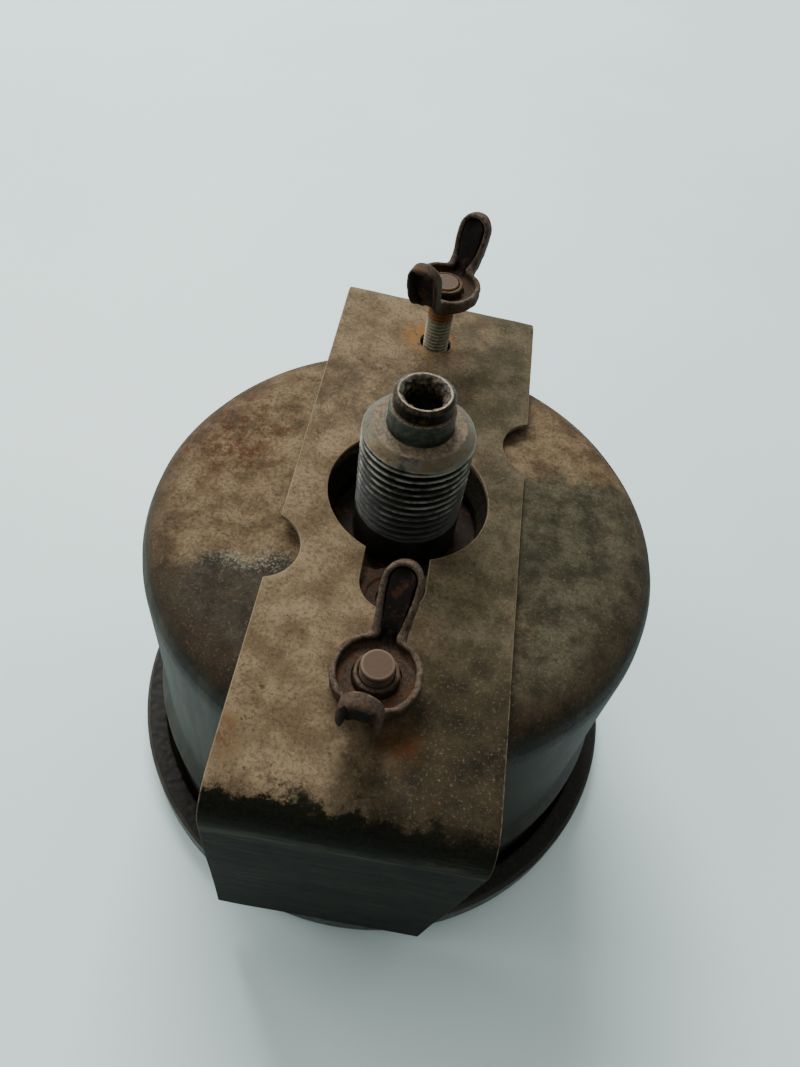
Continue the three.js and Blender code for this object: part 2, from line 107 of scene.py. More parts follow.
def refined(outline, step):
    """The closed outline again, with its long sides cut into steps."""
    fine = []
    for i, point in enumerate(outline):
        fine += straight(point, outline[(i + 1) % len(outline)], step)
    return fine


def turned(profile, sides, centre=(0, 0), shape=None):
    """Points and faces of a closed (radius, z) profile turned about a vertical axis.

    shape(radius, z, angle) gives the radius and z to use instead.
    """
    points, faces = [], []
    count = len(profile)
    for s in range(sides):
        angle = TAU * s / sides
        for radius, z in profile:
            if shape:
                radius, z = shape(radius, z, angle)
            x = centre[0] + radius * math.cos(angle)
            points.append((x, centre[1] + radius * math.sin(angle), z))
        after = (s + 1) % sides
        for k in range(count):
            n = (k + 1) % count
            faces.append((s * count + k, after * count + k, after * count + n, s * count + n))
    return points, faces


def piece(name, shape, body, nodes, finish, crease=40, marks=None):
    """A smooth mesh of (points in millimetres, faces), which stands for CAD nodes.

    marks maps an attribute's name to one value for each point.
    """
    points, faces = shape
    bm = bmesh.new()
    marks = marks or {}
    for mark in marks:
        bm.verts.layers.float.new(mark)
    layers = bm.verts.layers.float
    verts = [bm.verts.new(Vector(p) * MM) for p in points]
    for mark, values in marks.items():
        for vert, value in zip(verts, values):
            vert[layers[mark]] = value
    for face in faces:
        bm.faces.new([verts[i] for i in face])
    bmesh.ops.remove_doubles(bm, verts=bm.verts, dist=1e-7)
    bmesh.ops.recalc_face_normals(bm, faces=bm.faces)
    mesh = bpy.data.meshes.new(name)
    bm.to_mesh(mesh)
    bm.free()
    mesh.polygons.foreach_set("use_smooth", [True] * len(mesh.polygons))
    mesh.set_sharp_from_angle(angle=math.radians(crease))
    mesh.materials.append(finish)
    thing = bpy.data.objects.new(name, mesh)
    bpy.context.collection.objects.link(thing)
    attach(thing, body)
    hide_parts(*nodes)
    return thing


# ---------------------------------------------------------------- materials
def rgb(red, green, blue):
    """A display colour of 0 to 255 as linear light."""
    linear = [((c / 255 + 0.055) / 1.055) ** 2.4 if c > 10 else c / 255 / 12.92 for c in (red, green, blue)]
    return (*linear, 1)


class Finish:
    """One procedural material, built with short calls. Sizes are in millimetres."""

    def __init__(self, name, **settings):
        self.material = bpy.data.materials.new(name)
        self.material.use_nodes = True
        self.nodes = self.material.node_tree.nodes
        self.links = self.material.node_tree.links
        self.nodes.clear()
        self.shader = self.nodes.new("ShaderNodeBsdfPrincipled")
        output = self.nodes.new("ShaderNodeOutputMaterial")
        self.links.new(self.shader.outputs[0], output.inputs["Surface"])
        self.where = self.nodes.new("ShaderNodeTexCoord").outputs["Object"]
        self.parts = None
        for socket, value in settings.items():
            self.give(self.shader.inputs[socket.replace("_", " ")], value)

    def give(self, socket, value):
        if isinstance(value, bpy.types.NodeSocket):
            self.links.new(value, socket)
        else:
            socket.default_value = value

    def set(self, socket, value):
        self.give(self.shader.inputs[socket], value)

    def scaled(self, size, stretch=(1, 1, 1), seed=0):
        made = self.nodes.new("ShaderNodeMapping")
        self.links.new(self.where, made.inputs["Vector"])
        made.inputs["Scale"].default_value = [1 / (size * MM * s) for s in stretch]
        made.inputs["Location"].default_value = (seed, 1.7 * seed, -2.3 * seed)
        return made.outputs[0]

    def noise(self, size, detail=5, roughness=0.6, stretch=(1, 1, 1), seed=0):
        made = self.nodes.new("ShaderNodeTexNoise")
        self.links.new(self.scaled(size, stretch, seed), made.inputs["Vector"])
        for key, value in (("Scale", 1), ("Detail", detail), ("Roughness", roughness)):
            made.inputs[key].default_value = value
        return made.outputs["Fac"]

    def cells(self, size, seed=0):
        made = self.nodes.new("ShaderNodeTexVoronoi")
        self.links.new(self.scaled(size, seed=seed), made.inputs["Vector"])
        made.inputs["Scale"].default_value = 1
        return made.outputs["Distance"]

    def math(self, operation, first, second=0.0, clamp=False):
        made = self.nodes.new("ShaderNodeMath")
        made.operation = operation
        made.use_clamp = clamp
        self.give(made.inputs[0], first)
        self.give(made.inputs[1], second)
        return made.outputs[0]

    def fade(self, value, low, high, to_low=0.0, to_high=1.0):
        """A smooth step of value from to_low at low to to_high at high."""
        made = self.nodes.new("ShaderNodeMapRange")
        made.interpolation_type = "SMOOTHSTEP"
        for index, part in enumerate((value, low, high, to_low, to_high)):
            self.give(made.inputs[index], part)
        return made.outputs[0]

    def mix(self, amount, first, second, blend="MIX"):
        made = self.nodes.new("ShaderNodeMix")
        made.data_type = "RGBA"
        made.blend_type = blend
        self.give(made.inputs["Factor"], amount)
        self.give(made.inputs[6], first)
        self.give(made.inputs[7], second)
        return made.outputs[2]

    def both(self, *masks):
        total = masks[0]
        for mask in masks[1:]:
            total = self.math("MULTIPLY", total, mask)
        return total

    def axis(self, name):
        """One object coordinate, in millimetres."""
        if self.parts is None:
            self.parts = self.nodes.new("ShaderNodeSeparateXYZ")
            self.links.new(self.where, self.parts.inputs[0])
        return self.math("MULTIPLY", self.parts.outputs[name], 1 / MM)

    def distance(self, x=None, y=None, z=None):
        """Distance in millimetres from a point, line or plane: a None coordinate doesn't count."""
        total = 0.0
        for name, value in (("X", x), ("Y", y), ("Z", z)):
            if value is not None:
                gap = self.math("SUBTRACT", self.axis(name), value)
                total = self.math("ADD", self.math("MULTIPLY", gap, gap), total)
        return self.math("SQRT", total)

    def normal_z(self):
        """How far the surface faces up, from -1 to 1, in the piece's own frame at rest."""
        geometry = self.nodes.new("ShaderNodeTexCoord")
        split = self.nodes.new("ShaderNodeSeparateXYZ")
        self.links.new(geometry.outputs["Normal"], split.inputs[0])
        return split.outputs["Z"]

    def attribute(self, name):
        """One of the piece's marks, and 0 where it has none."""
        made = self.nodes.new("ShaderNodeAttribute")
        made.attribute_name = name
        return made.outputs["Fac"]

    def relief(self, grain, blotch, fine):
        """A height made of three noises, mostly the first."""
        lesser = self.math("ADD", self.math("MULTIPLY", blotch, 0.8), self.math("MULTIPLY", fine, 0.5))
        return self.math("ADD", grain, lesser)

    def bump(self, height, depth):
        """Bumps of a 0 to 1 height, with depth in millimetres."""
        made = self.nodes.new("ShaderNodeBump")
        made.inputs["Strength"].default_value = 1
        made.inputs["Distance"].default_value = depth * MM
        self.links.new(height, made.inputs["Height"])
        self.links.new(made.outputs[0], self.shader.inputs["Normal"])


NEAR_Y = (box_mm("stud_near")[0].y + box_mm("stud_near")[1].y) / 2
FAR_Y = (box_mm("stud_far")[0].y + box_mm("stud_far")[1].y) / 2
BACK_Z = box_mm("case")[1].z
BRACKET_LOW, BRACKET_HIGH = box_mm("clamp_bracket")


BRACKET = {
    "half_width": 19.6, "sheet": 1.0, "bend": 6.0, "lean": 0.073, "roll": 0.05, "half_length": 57.1,
    "leg_depth": 66.5, "top_z": 74.75, "hole": 13.7, "hole_y": 1.0, "lobe": 5.2, "lobe_y": -17.6,
    "notch": 6.45, "notch_x": 21.7, "notch_y": 16.1, "stud_hole": 3.1,
}


def case_finish():
    """Dull zinc under dust: rusty at the far left, bare and dark at the near left, green and partly painted
    shade at the right, with painted shade on the wall's right side, below the bead and round the opening.
    """
    f = Finish("zinc_case")
    x, y, z = f.axis("X"), f.axis("Y"), f.axis("Z")
    radius = f.distance(x=0, y=0)
    grain = f.noise(0.6, 7, 0.8)
    fine = f.noise(0.45, 6, 0.8, seed=41)
    blotch = f.noise(5, 6, 0.65, seed=51)
    drift = f.fade(f.noise(13, 6, 0.65, seed=3), 0.25, 0.75, -7, 7)
    low_drift = f.math("MULTIPLY", drift, 0.5)

    tan = f.mix(f.fade(blotch, 0.34, 0.66), rgb(98, 81, 58), rgb(138, 119, 93))
    # The dust turns greener and darker towards the right, short of the far side: partly its own tone, partly
    # painted shade where less light falls.
    green = f.mix(f.fade(blotch, 0.34, 0.66), rgb(56, 56, 42), rgb(92, 89, 72))
    green_and_shade = f.both(f.fade(f.math("ADD", x, drift), 8, 20), f.fade(f.math("ADD", y, low_drift), 15, 10))
    dust = f.mix(green_and_shade, tan, green)
    bare = f.mix(f.fade(blotch, 0.34, 0.66), rgb(50, 47, 39), rgb(76, 70, 59))
    bare_edge = f.math("ADD", y, low_drift)
    dust = f.mix(f.both(f.fade(bare_edge, -16, -18.5), f.fade(x, -10, -18)), dust, bare)
    close = f.fade(f.distance(x=-23, y=-18), 10, 3)
    fringe = f.both(close, f.fade(bare_edge, -14.5, -16.5), f.fade(fine, 0.46, 0.6))
    dust = f.mix(f.both(fringe, f.fade(bare_edge, -20.5, -18)), dust, rgb(146, 148, 130))
    rust = f.fade(f.math("ADD", f.distance(x=-32, y=12), drift), 16, 4)
    dust = f.mix(f.both(rust, f.fade(f.noise(2.0, 6, 0.75, seed=8), 0.42, 0.6)), dust, rgb(88, 55, 31))
    spots = f.fade(f.noise(3.2, 5, 0.7, seed=77), 0.6, 0.7)
    dust = f.mix(f.both(spots, 0.7), dust, rgb(84, 58, 40))
    dust = f.mix(f.fade(f.math("ADD", radius, low_drift), 36, 43, 0, 0.6), dust, rgb(74, 57, 42))
    dust = f.mix(f.fade(grain, 0.44, 0.64, 0, 0.65), dust, rgb(50, 44, 34))
    dust = f.mix(f.fade(fine, 0.54, 0.7, 0, 0.4), dust, rgb(170, 155, 132))

    streaks = f.noise(5, 5, 0.65, (1, 1, 7), 5)
    zinc = f.mix(f.fade(streaks, 0.35, 0.65), rgb(27, 26, 18), rgb(60, 57, 43))
    # Painted shade: the wall's zinc darkens towards the right side, away from the light from the left.
    zinc = f.mix(f.fade(x, -8, 26), zinc, f.mix(f.fade(streaks, 0.35, 0.65), rgb(15, 14, 8), rgb(36, 33, 21)))
    stain = f.fade(f.noise(4, 5, 0.7, (1, 1, 2.5), 11), 0.48, 0.66)
    wall = f.mix(f.fade(stain, 0, 1, 0, 0.8), zinc, rgb(52, 48, 34))
    upward = f.fade(f.normal_z(), 0.3, 0.85)
    ragged = f.math("ADD", upward, f.fade(blotch, 0.3, 0.7, -0.25, 0.25), clamp=True)
    colour = f.mix(ragged, wall, dust)
    low_z = box_mm("case")[0].z
    # Painted shade: the wall darkens below the bead, towards the bottom.
    foot = f.math("ADD", z, f.fade(blotch, 0.3, 0.7, -2, 2))
    colour = f.mix(f.fade(foot, low_z + 9, low_z + 15, 1, 0), colour, rgb(30, 27, 18))
    speck = f.both(f.fade(f.cells(2.6, 2), 0.07, 0.11, 1, 0), f.fade(radius, 38, 45))
    colour = f.mix(speck, colour, rgb(16, 14, 11))
    # Painted shade: dark and without metal sheen in the opening round the neck, which lies in shade.
    throat_shade = f.fade(radius, 15.2, 14.2)
    colour = f.mix(throat_shade, colour, f.mix(f.fade(grain, 0.35, 0.65), rgb(17, 16, 11), rgb(44, 41, 29)))
    f.set("Base Color", f.mix(1.0, colour, (0.74, 0.73, 0.71, 1), "MULTIPLY"))
    f.set("Roughness", f.fade(ragged, 0, 1, 0.5, 0.8))
    f.set("Metallic", f.both(f.fade(ragged, 0, 1, 0.15, 0.04), f.fade(throat_shade, 0, 1, 1, 0)))
    f.set("Specular IOR Level", 0.1)
    f.bump(f.relief(grain, blotch, fine), 0.16)
    return f.material


def bracket_finish():
    """Plated strip under brown dust, darker towards the right partly as painted shade, with black-green grime
    along the bends, and dark, scratched legs whose darkness is painted shade.
    """
    f = Finish("bracket_steel")
    x, y, z = f.axis("X"), f.axis("Y"), f.axis("Z")
    grain = f.noise(0.6, 7, 0.82)
    fine = f.noise(0.45, 6, 0.8, seed=42)
    blotch = f.noise(6, 6, 0.65, seed=21)
    drift = f.fade(f.noise(14, 6, 0.62, seed=27), 0.25, 0.75, -8, 8)

    tan = f.mix(f.fade(blotch, 0.34, 0.66), rgb(108, 91, 68), rgb(150, 131, 105))
    # Darker towards the right, and darker still at the near right: partly the dust's own tone, partly painted
    # shade where less light falls.
    drab_and_shade = f.mix(f.fade(blotch, 0.34, 0.66), rgb(72, 66, 49), rgb(110, 101, 80))
    colour = f.mix(f.fade(f.math("ADD", x, drift), -1, 13), tan, drab_and_shade)
    dark = f.mix(f.fade(blotch, 0.34, 0.66), rgb(34, 31, 20), rgb(70, 61, 44))
    near = f.fade(f.math("ADD", y, drift), -20, -38)
    colour = f.mix(f.both(near, f.fade(f.math("ADD", x, drift), -8, 8)), colour, dark)
    sooty = f.fade(f.math("ADD", f.distance(x=-15, y=24), drift), 20, 6, 0, 0.55)
    colour = f.mix(f.both(sooty, f.fade(f.noise(3, 6, 0.7, seed=60), 0.4, 0.6)), colour, rgb(66, 58, 44))
    colour = f.mix(f.fade(grain, 0.44, 0.64, 0, 0.65), colour, rgb(60, 53, 41))
    colour = f.mix(f.fade(fine, 0.54, 0.7, 0, 0.42), colour, rgb(178, 161, 136))
    pits = f.fade(f.noise(2.4, 5, 0.7, seed=14), 0.62, 0.7)
    colour = f.mix(f.fade(pits, 0, 1, 0, 0.75), colour, rgb(66, 46, 32))
    fringe = f.fade(grain, 0.3, 0.7, -1.4, 1.4)
    seep = f.math("ADD", f.distance(x=-1.6, y=FAR_Y + 0.6), fringe)
    seep = f.both(f.fade(seep, 3.4, 6.4, 1, 0), f.fade(f.noise(1.8, 5, 0.7, seed=63), 0.38, 0.58))
    colour = f.mix(f.both(seep, 0.9), colour, rgb(150, 108, 58))
    run = f.fade(f.math("ADD", f.distance(x=5, y=NEAR_Y - 8), fringe), 1, 4.6, 0.85, 0)
    run = f.both(run, f.fade(f.noise(1.6, 5, 0.7, seed=64), 0.36, 0.56))
    colour = f.mix(run, colour, rgb(86, 50, 20))
    corner = f.fade(f.math("ADD", f.distance(x=-19.5, y=-47), fringe), 1, 5, 0.9, 0)
    corner = f.both(corner, f.fade(blotch, 0.42, 0.56))
    colour = f.mix(corner, colour, rgb(96, 60, 28))

    # Grime with a ragged edge gathers over the front bend, with patches before it.
    fallen = f.math("SUBTRACT", BRACKET_HIGH.z - 1, f.math("ADD", z, f.math("MULTIPLY", x, BRACKET["roll"])))
    past = f.math("SUBTRACT", f.math("MULTIPLY", fallen, 0.75), y)
    past = f.math("ADD", past, f.fade(f.noise(4.5, 7, 0.78, seed=4), 0.28, 0.72, -2.4, 2.4))
    grime = f.mix(f.fade(grain, 0.35, 0.65), rgb(11, 11, 5), rgb(32, 32, 20))
    colour = f.mix(f.fade(past, 53.2, 54.9), colour, grime)
    patches = f.both(f.fade(f.noise(2.6, 6, 0.75, seed=68), 0.54, 0.64), f.fade(past, 48.5, 53))
    colour = f.mix(f.both(patches, 0.8), colour, rgb(18, 18, 10))
    bend_end = BRACKET_HIGH.z - 7.5
    fall = f.math("ADD", z, f.fade(f.noise(3.5, 6, 0.7, (3, 1, 1), 65), 0.3, 0.7, -1.6, 1.6))
    leg = f.fade(fall, bend_end + 4.4, bend_end + 0.4)
    marks = f.noise(2.2, 5, 0.7, (7, 7, 0.6), 6)
    # Painted shade: the legs' steel is dark because they face away from the light; the marks, the rubbed band
    # and the scratches are wear.
    steel = f.mix(f.fade(marks, 0.36, 0.68), rgb(19, 19, 13), rgb(38, 37, 28))
    steel = f.mix(f.fade(f.noise(9, 5, 0.6, seed=66), 0.42, 0.62, 0, 0.7), steel, rgb(15, 14, 9))
    rub = f.both(f.fade(fall, bend_end + 2.6, bend_end - 0.2), f.fade(fall, bend_end - 3.4, bend_end - 0.6))
    scratch = f.fade(f.noise(0.7, 4, 0.7, (12, 1, 0.5), 67), 0.56, 0.66)
    steel = f.mix(f.both(rub, f.fade(marks, 0.4, 0.6, 0.3, 1)), steel, rgb(66, 64, 50))
    steel = f.mix(f.both(scratch, 0.5), steel, rgb(86, 84, 68))
    colour = f.mix(leg, colour, steel)
    edge = f.both(f.attribute("worn"), f.fade(leg, 0, 1, 1, 0.35))
    colour = f.mix(f.both(edge, f.fade(grain, 0.4, 0.6, 0.1, 0.8)), colour, rgb(160, 145, 122))
    f.set("Base Color", f.mix(1.0, colour, (0.72, 0.71, 0.68, 1), "MULTIPLY"))
    f.set("Roughness", 0.8)
    f.set("Metallic", 0.04)
    f.set("Specular IOR Level", 0.12)
    f.bump(f.relief(grain, blotch, fine), 0.14)
    return f.material


def rust_finish(name, dark, mid, worn, metal=0.3):
    """Dark rust: orange in places, black as painted shade in the marked hollows, and worn along the marked
    rims.
    """
    f = Finish(name, Metallic=metal)
    grain = f.noise(0.6, 7, 0.8, seed=5)
    colour = f.mix(f.fade(grain, 0.35, 0.65), dark, mid)
    orange = f.fade(f.noise(2.2, 5, 0.7, seed=9), 0.5, 0.66)
    # Painted shade: black where the piece marks its hollows.
    black = f.mix(f.fade(grain, 0.4, 0.65), rgb(9, 7, 6), rgb(30, 20, 14))
    colour = f.mix(f.attribute("hollow_shade"), colour, black)
    colour = f.mix(f.fade(orange, 0, 1, 0, 0.7), colour, rgb(84, 46, 20))
    collar = f.both(f.attribute("orange"), f.fade(grain, 0.3, 0.6, 0.5, 1))
    colour = f.mix(collar, colour, rgb(132, 84, 34))
    patchy = f.fade(f.noise(1.8, 5, 0.7, seed=19), 0.4, 0.6, 0.25, 1)
    rim = f.both(f.attribute("worn"), patchy, f.fade(grain, 0.38, 0.58, 0.2, 1))
    colour = f.mix(rim, colour, worn)
    f.set("Base Color", colour)
    f.set("Roughness", f.fade(grain, 0.3, 0.7, 0.6, 0.85))
    f.set("Specular IOR Level", 0.3)
    f.bump(grain, 0.24)
    return f.material


def stud_finish():
    """Brown steel: a tan end with a paler rim, and dirt in the thread."""
    f = Finish("stud_steel", Metallic=0.15)
    grain = f.noise(0.5, 6, 0.75, seed=15)
    colour = f.mix(f.fade(grain, 0.35, 0.65), rgb(66, 51, 36), rgb(98, 80, 60))
    far = f.fade(f.axis("Y"), 0, 5)
    colour = f.mix(far, colour, f.mix(f.fade(grain, 0.35, 0.65), rgb(122, 117, 96), rgb(162, 156, 131)))
    ragged_z = f.math("ADD", f.axis("Z"), f.fade(grain, 0.3, 0.7, -0.6, 0.6))
    rusty = f.both(far, f.fade(ragged_z, BACK_Z + 8, BACK_Z + 9))
    colour = f.mix(rusty, colour, rgb(134, 88, 36))
    colour = f.mix(f.both(f.attribute("groove"), f.fade(far, 0, 1, 0.9, 0.45)), colour, rgb(34, 28, 19))
    level = f.fade(f.normal_z(), 0.8, 0.95)
    colour = f.mix(level, colour, f.mix(f.fade(grain, 0.3, 0.7), rgb(62, 46, 33), rgb(82, 63, 47)))
    colour = f.mix(f.both(f.attribute("worn"), 0.7), colour, rgb(108, 92, 75))
    f.set("Base Color", colour)
    f.set("Roughness", f.fade(grain, 0.3, 0.7, 0.55, 0.8))
    f.set("Specular IOR Level", 0.3)
    f.bump(grain, 0.07)
    return f.material


def neck_finish():
    """Grey plate: silver upper crests, black in the thread, near-black painted shade lower down, brown dust
    on the shoulder.
    """
    f = Finish("neck_zinc")
    high = box_mm("drive_neck")[1]
    shoulder = high.z - 3.9
    z, radius = f.axis("Z"), f.distance(x=0, y=0)
    grain = f.noise(0.5, 6, 0.75, seed=12)
    blotch = f.noise(4, 5, 0.65, seed=13)
    zinc = f.mix(f.fade(blotch, 0.35, 0.65), rgb(62, 63, 55), rgb(146, 146, 134))
    # Painted shade: the neck turns near black towards its base, down in the opening, and loses its sheen
    # there.
    darkening = f.fade(f.math("ADD", z, f.fade(blotch, 0.3, 0.7, -4, 4)), BACK_Z + 4, BACK_Z + 16, 0.95, 0.15)
    colour = f.mix(darkening, zinc, rgb(22, 22, 16))
    groove = f.fade(radius, high.x - 0.5, high.x - 0.14, 1, 0)
    groove = f.both(groove, f.fade(z, shoulder - 1.7, shoulder - 2.1))
    colour = f.mix(f.both(groove, f.fade(radius, 7, 7.5)), colour, rgb(9, 9, 6))
    nose = f.both(f.fade(radius, 5.6, 5.4), f.fade(z, shoulder - 0.2, shoulder + 0.1))
    colour = f.mix(nose, colour, f.mix(f.fade(blotch, 0.35, 0.65), rgb(38, 41, 35), rgb(70, 74, 65)))
    level = f.both(f.fade(f.normal_z(), 0.6, 0.9), f.fade(z, shoulder - 0.5, shoulder - 0.1))
    dusty = f.mix(f.fade(grain, 0.4, 0.62), rgb(62, 52, 38), rgb(124, 108, 84))
    colour = f.mix(f.both(level, f.fade(grain, 0.25, 0.45, 0.7, 1)), colour, dusty)
    chamfer = f.both(f.fade(z, shoulder - 1.6, shoulder - 1.2), f.fade(z, shoulder + 0.1, shoulder - 0.2))
    colour = f.mix(f.both(chamfer, f.fade(blotch, 0.42, 0.56)), colour, rgb(96, 84, 64))
    f.set("Base Color", colour)
    f.set("Roughness", f.math("ADD", f.fade(grain, 0.3, 0.7, 0.34, 0.55), f.math("MULTIPLY", level, 0.3)))
    f.set("Metallic", f.fade(f.math("MAXIMUM", level, darkening), 0, 1, 0.75, 0.15))
    f.bump(grain, 0.07)
    return f.material


def brass_finish():
    """Dark tarnished brass with a golden glint, and a pale, crusted mouth over a bore painted black as shade.
    """
    f = Finish("brass")
    top = box_mm("neck_bush")[1].z
    z, radius = f.axis("Z"), f.distance(x=0, y=0)
    grain = f.noise(0.7, 6, 0.75, seed=17)
    patch = f.fade(f.noise(2.8, 4, 0.6, (1, 1, 2.5), 18), 0.48, 0.62)
    colour = f.mix(patch, rgb(18, 15, 9), rgb(82, 62, 30))
    upper = f.fade(z, top - 0.8, top - 0.4)
    olive = f.mix(f.fade(grain, 0.35, 0.65), rgb(30, 25, 18), rgb(66, 57, 44))
    colour = f.mix(upper, colour, olive)
    lip = f.both(f.fade(radius, 4.12, 3.98), f.fade(z, top - 0.8, top - 0.2))
    lip = f.both(lip, f.fade(grain, 0.3, 0.55, 0.3, 0.9))
    colour = f.mix(lip, colour, rgb(104, 92, 72))
    inside = f.fade(radius, 3.86, 3.74)
    crust = f.mix(f.fade(grain, 0.4, 0.62), rgb(38, 33, 24), rgb(92, 83, 67))
    # Painted shade: black deep in the bore, below the crust.
    depth = f.fade(f.math("ADD", z, f.fade(grain, 0.3, 0.7, -1, 1)), top - 3.6, top - 0.9)
    colour = f.mix(inside, colour, f.mix(depth, rgb(7, 7, 5), crust))
    f.set("Base Color", colour)
    f.set("Roughness", f.fade(grain, 0.3, 0.7, 0.26, 0.5))
    f.set("Metallic", f.fade(f.math("MAXIMUM", inside, lip), 0, 1, 0.9, 0.15))
    f.bump(grain, 0.08)
    return f.material


def rubber_finish():
    """Black rubber, dusty on its ridges."""
    f = Finish("black_rubber", Roughness=0.7)
    f.set("Specular IOR Level", 0.25)
    grain = f.noise(1.0, 6, 0.7, seed=23)
    f.set("Base Color", f.mix(f.fade(grain, 0.5, 0.75), rgb(24, 23, 19), rgb(50, 48, 40)))
    f.bump(grain, 0.15)
    return f.material


def bezel_finish():
    """Worn black paint with a brown bloom."""
    f = Finish("bezel_black", Metallic=0.1)
    grain = f.noise(1.5, 6, 0.7, seed=31)
    bloom = f.fade(f.noise(12, 4, 0.6, seed=32), 0.42, 0.65)
    colour = f.mix(bloom, rgb(32, 31, 25), rgb(52, 49, 39))
    colour = f.mix(f.fade(grain, 0.6, 0.75), colour, rgb(16, 15, 11))
    f.set("Base Color", colour)
    f.set("Specular IOR Level", 0.3)
    f.set("Roughness", f.fade(grain, 0.3, 0.7, 0.36, 0.55))
    f.bump(grain, 0.03)
    return f.material


def plain_metal(name, colour, darker, roughness, metal=0.9, stretch=(1, 1, 1)):
    """Machined metal with faint tool marks, for the movement inside."""
    f = Finish(name, Metallic=metal)
    marks = f.noise(1.5, 4, 0.6, stretch, 40)
    f.set("Base Color", f.mix(f.fade(marks, 0.35, 0.7), colour, darker))
    f.set("Roughness", f.fade(marks, 0.3, 0.7, roughness, roughness + 0.12))
    f.bump(marks, 0.01)
    return f.material


def glass_finish():
    """Clear glass with a faint film of dust."""
    f = Finish("glass", IOR=1.5)
    f.set("Transmission Weight", 1.0)
    f.set("Base Color", (0.96, 0.98, 0.97, 1))
    f.set("Roughness", f.fade(f.noise(8, 4, 0.6, seed=44), 0.5, 0.8, 0.02, 0.12))
    return f.material


def paint_finish(name, colour, speckle, roughness):
    """Flat paint with a slight speckle."""
    f = Finish(name)
    grain = f.noise(0.8, 5, 0.7, seed=47)
    f.set("Base Color", f.mix(f.fade(grain, 0.5, 0.8), colour, speckle))
    f.set("Roughness", f.fade(grain, 0.3, 0.7, roughness, roughness + 0.15))
    f.bump(grain, 0.02)
    return f.material


FINISHES = {
    "zinc_case": case_finish(),
    "bracket_steel": bracket_finish(),
    "rusty_steel": rust_finish("rusty_steel", rgb(30, 23, 17), rgb(82, 64, 48), rgb(106, 94, 79)),
    "neck_zinc": neck_finish(),
    "brass": brass_finish(),
    "black_rubber": rubber_finish(),
    "bezel_black": bezel_finish(),
    "glass": glass_finish(),
    "dial_black": paint_finish("dial_black", rgb(28, 28, 28), rgb(44, 43, 40), 0.55),
    "pointer_white": paint_finish("pointer_white", rgb(226, 221, 208), rgb(196, 188, 168), 0.5),
    "bright_steel": plain_metal("bright_steel", rgb(178, 178, 172), rgb(140, 140, 134), 0.3),
    "aluminium": plain_metal("aluminium", rgb(206, 208, 208), rgb(178, 180, 180), 0.32),
    "magnet_steel": plain_metal("magnet_steel", rgb(74, 74, 78), rgb(52, 52, 55), 0.5, 0.6),
}
STUD_FINISH = stud_finish()


# ---------------------------------------------------------------- the case and what closes it
def make_case():
    """The deep-drawn cup: one sheet, with a raised pad, an opening round the neck and a bead below."""
    sheet = 0.9
    low, high = box_mm("case")
    flange, foot_z, pad_z = high.x, low.z, high.z
    back_z = pad_z - 1
    wall, foot, bead = 44.8, 46.4, 46.9
    bead_z = foot_z + 15.4
    corner, pad = 8.5, 25
    opening, collar = 14.5, 12.5
    collar_z = pad_z - 3.2
    collar_end = box_mm("neck_washer")[1].z + 0.3
    outside = [
        (flange, foot_z, 0.3), (flange, foot_z + 1.1, 0.4), (foot, foot_z + 1.1, 1.2),
        (foot, bead_z - 1.5, 0.6), (bead, bead_z - 0.6, 0.35), (bead, bead_z + 0.3, 0.7),
        (wall + 0.25, bead_z + 5.5, 8), (wall, back_z, corner), (pad + 1.3, back_z, 2.2),
        (pad - 1.3, pad_z, 2.2), (opening, pad_z, 0.9), (collar, collar_z, 0.9),
        (collar, collar_end, 0.2),
    ]
    inside = [
        (collar + sheet, collar_end, 0.2), (collar + sheet, collar_z, 0.9),
        (opening + sheet / 2, pad_z - sheet, 0.9),
        (pad - 1.3, pad_z - sheet, 2), (pad + 1.3, back_z - sheet, 2),
        (wall - sheet, back_z - sheet, corner - sheet), (wall + 0.25 - sheet, bead_z + 5.5, 8),
        (bead - sheet, bead_z, 0.5), (foot - sheet, bead_z - 1.5, 0.6), (foot - sheet, foot_z, 0.3),
    ]
    profile = refined(rounded(outside + inside, 6), 1.6)

    def dent(radius, z, angle):
        """Slight unevenness, fading out towards the flange and the opening."""
        here = (radius * math.cos(angle), radius * math.sin(angle), z)
        free = smooth(foot_z + 3, bead_z + 8, z) * smooth(opening - 1, opening + 2, radius)
        radius -= free * (0.12 + rough(here, 22, 0.14))
        return radius, z - free * smooth(back_z - 12, back_z, z) * (0.1 + rough(here, 17, 0.12, 4))

    piece("case_cup", turned(profile, 256, shape=dent), "case", ["case"], FINISHES["zinc_case"])


def make_bezel():
    """The front ring, rolled over the case's flange."""
    high = box_mm("bezel_ring")[1]
    radius, height = high.x, high.z
    sheet, window, lip = 0.8, 45.5, 49.3
    corners = [
        (radius, 0, 1.3), (radius, height, 0.7), (lip, height, 0.25), (lip, height - sheet, 0.2),
        (radius - sheet, height - sheet, 0.3), (radius - sheet, sheet, 0.5), (window, sheet, 0.2),
        (window, 0, 0.35),
    ]
    profile = refined(rounded(corners, 6), 1.2)
    piece("bezel_shell", turned(profile, 256), "case", ["bezel_ring"], FINISHES["bezel_black"])


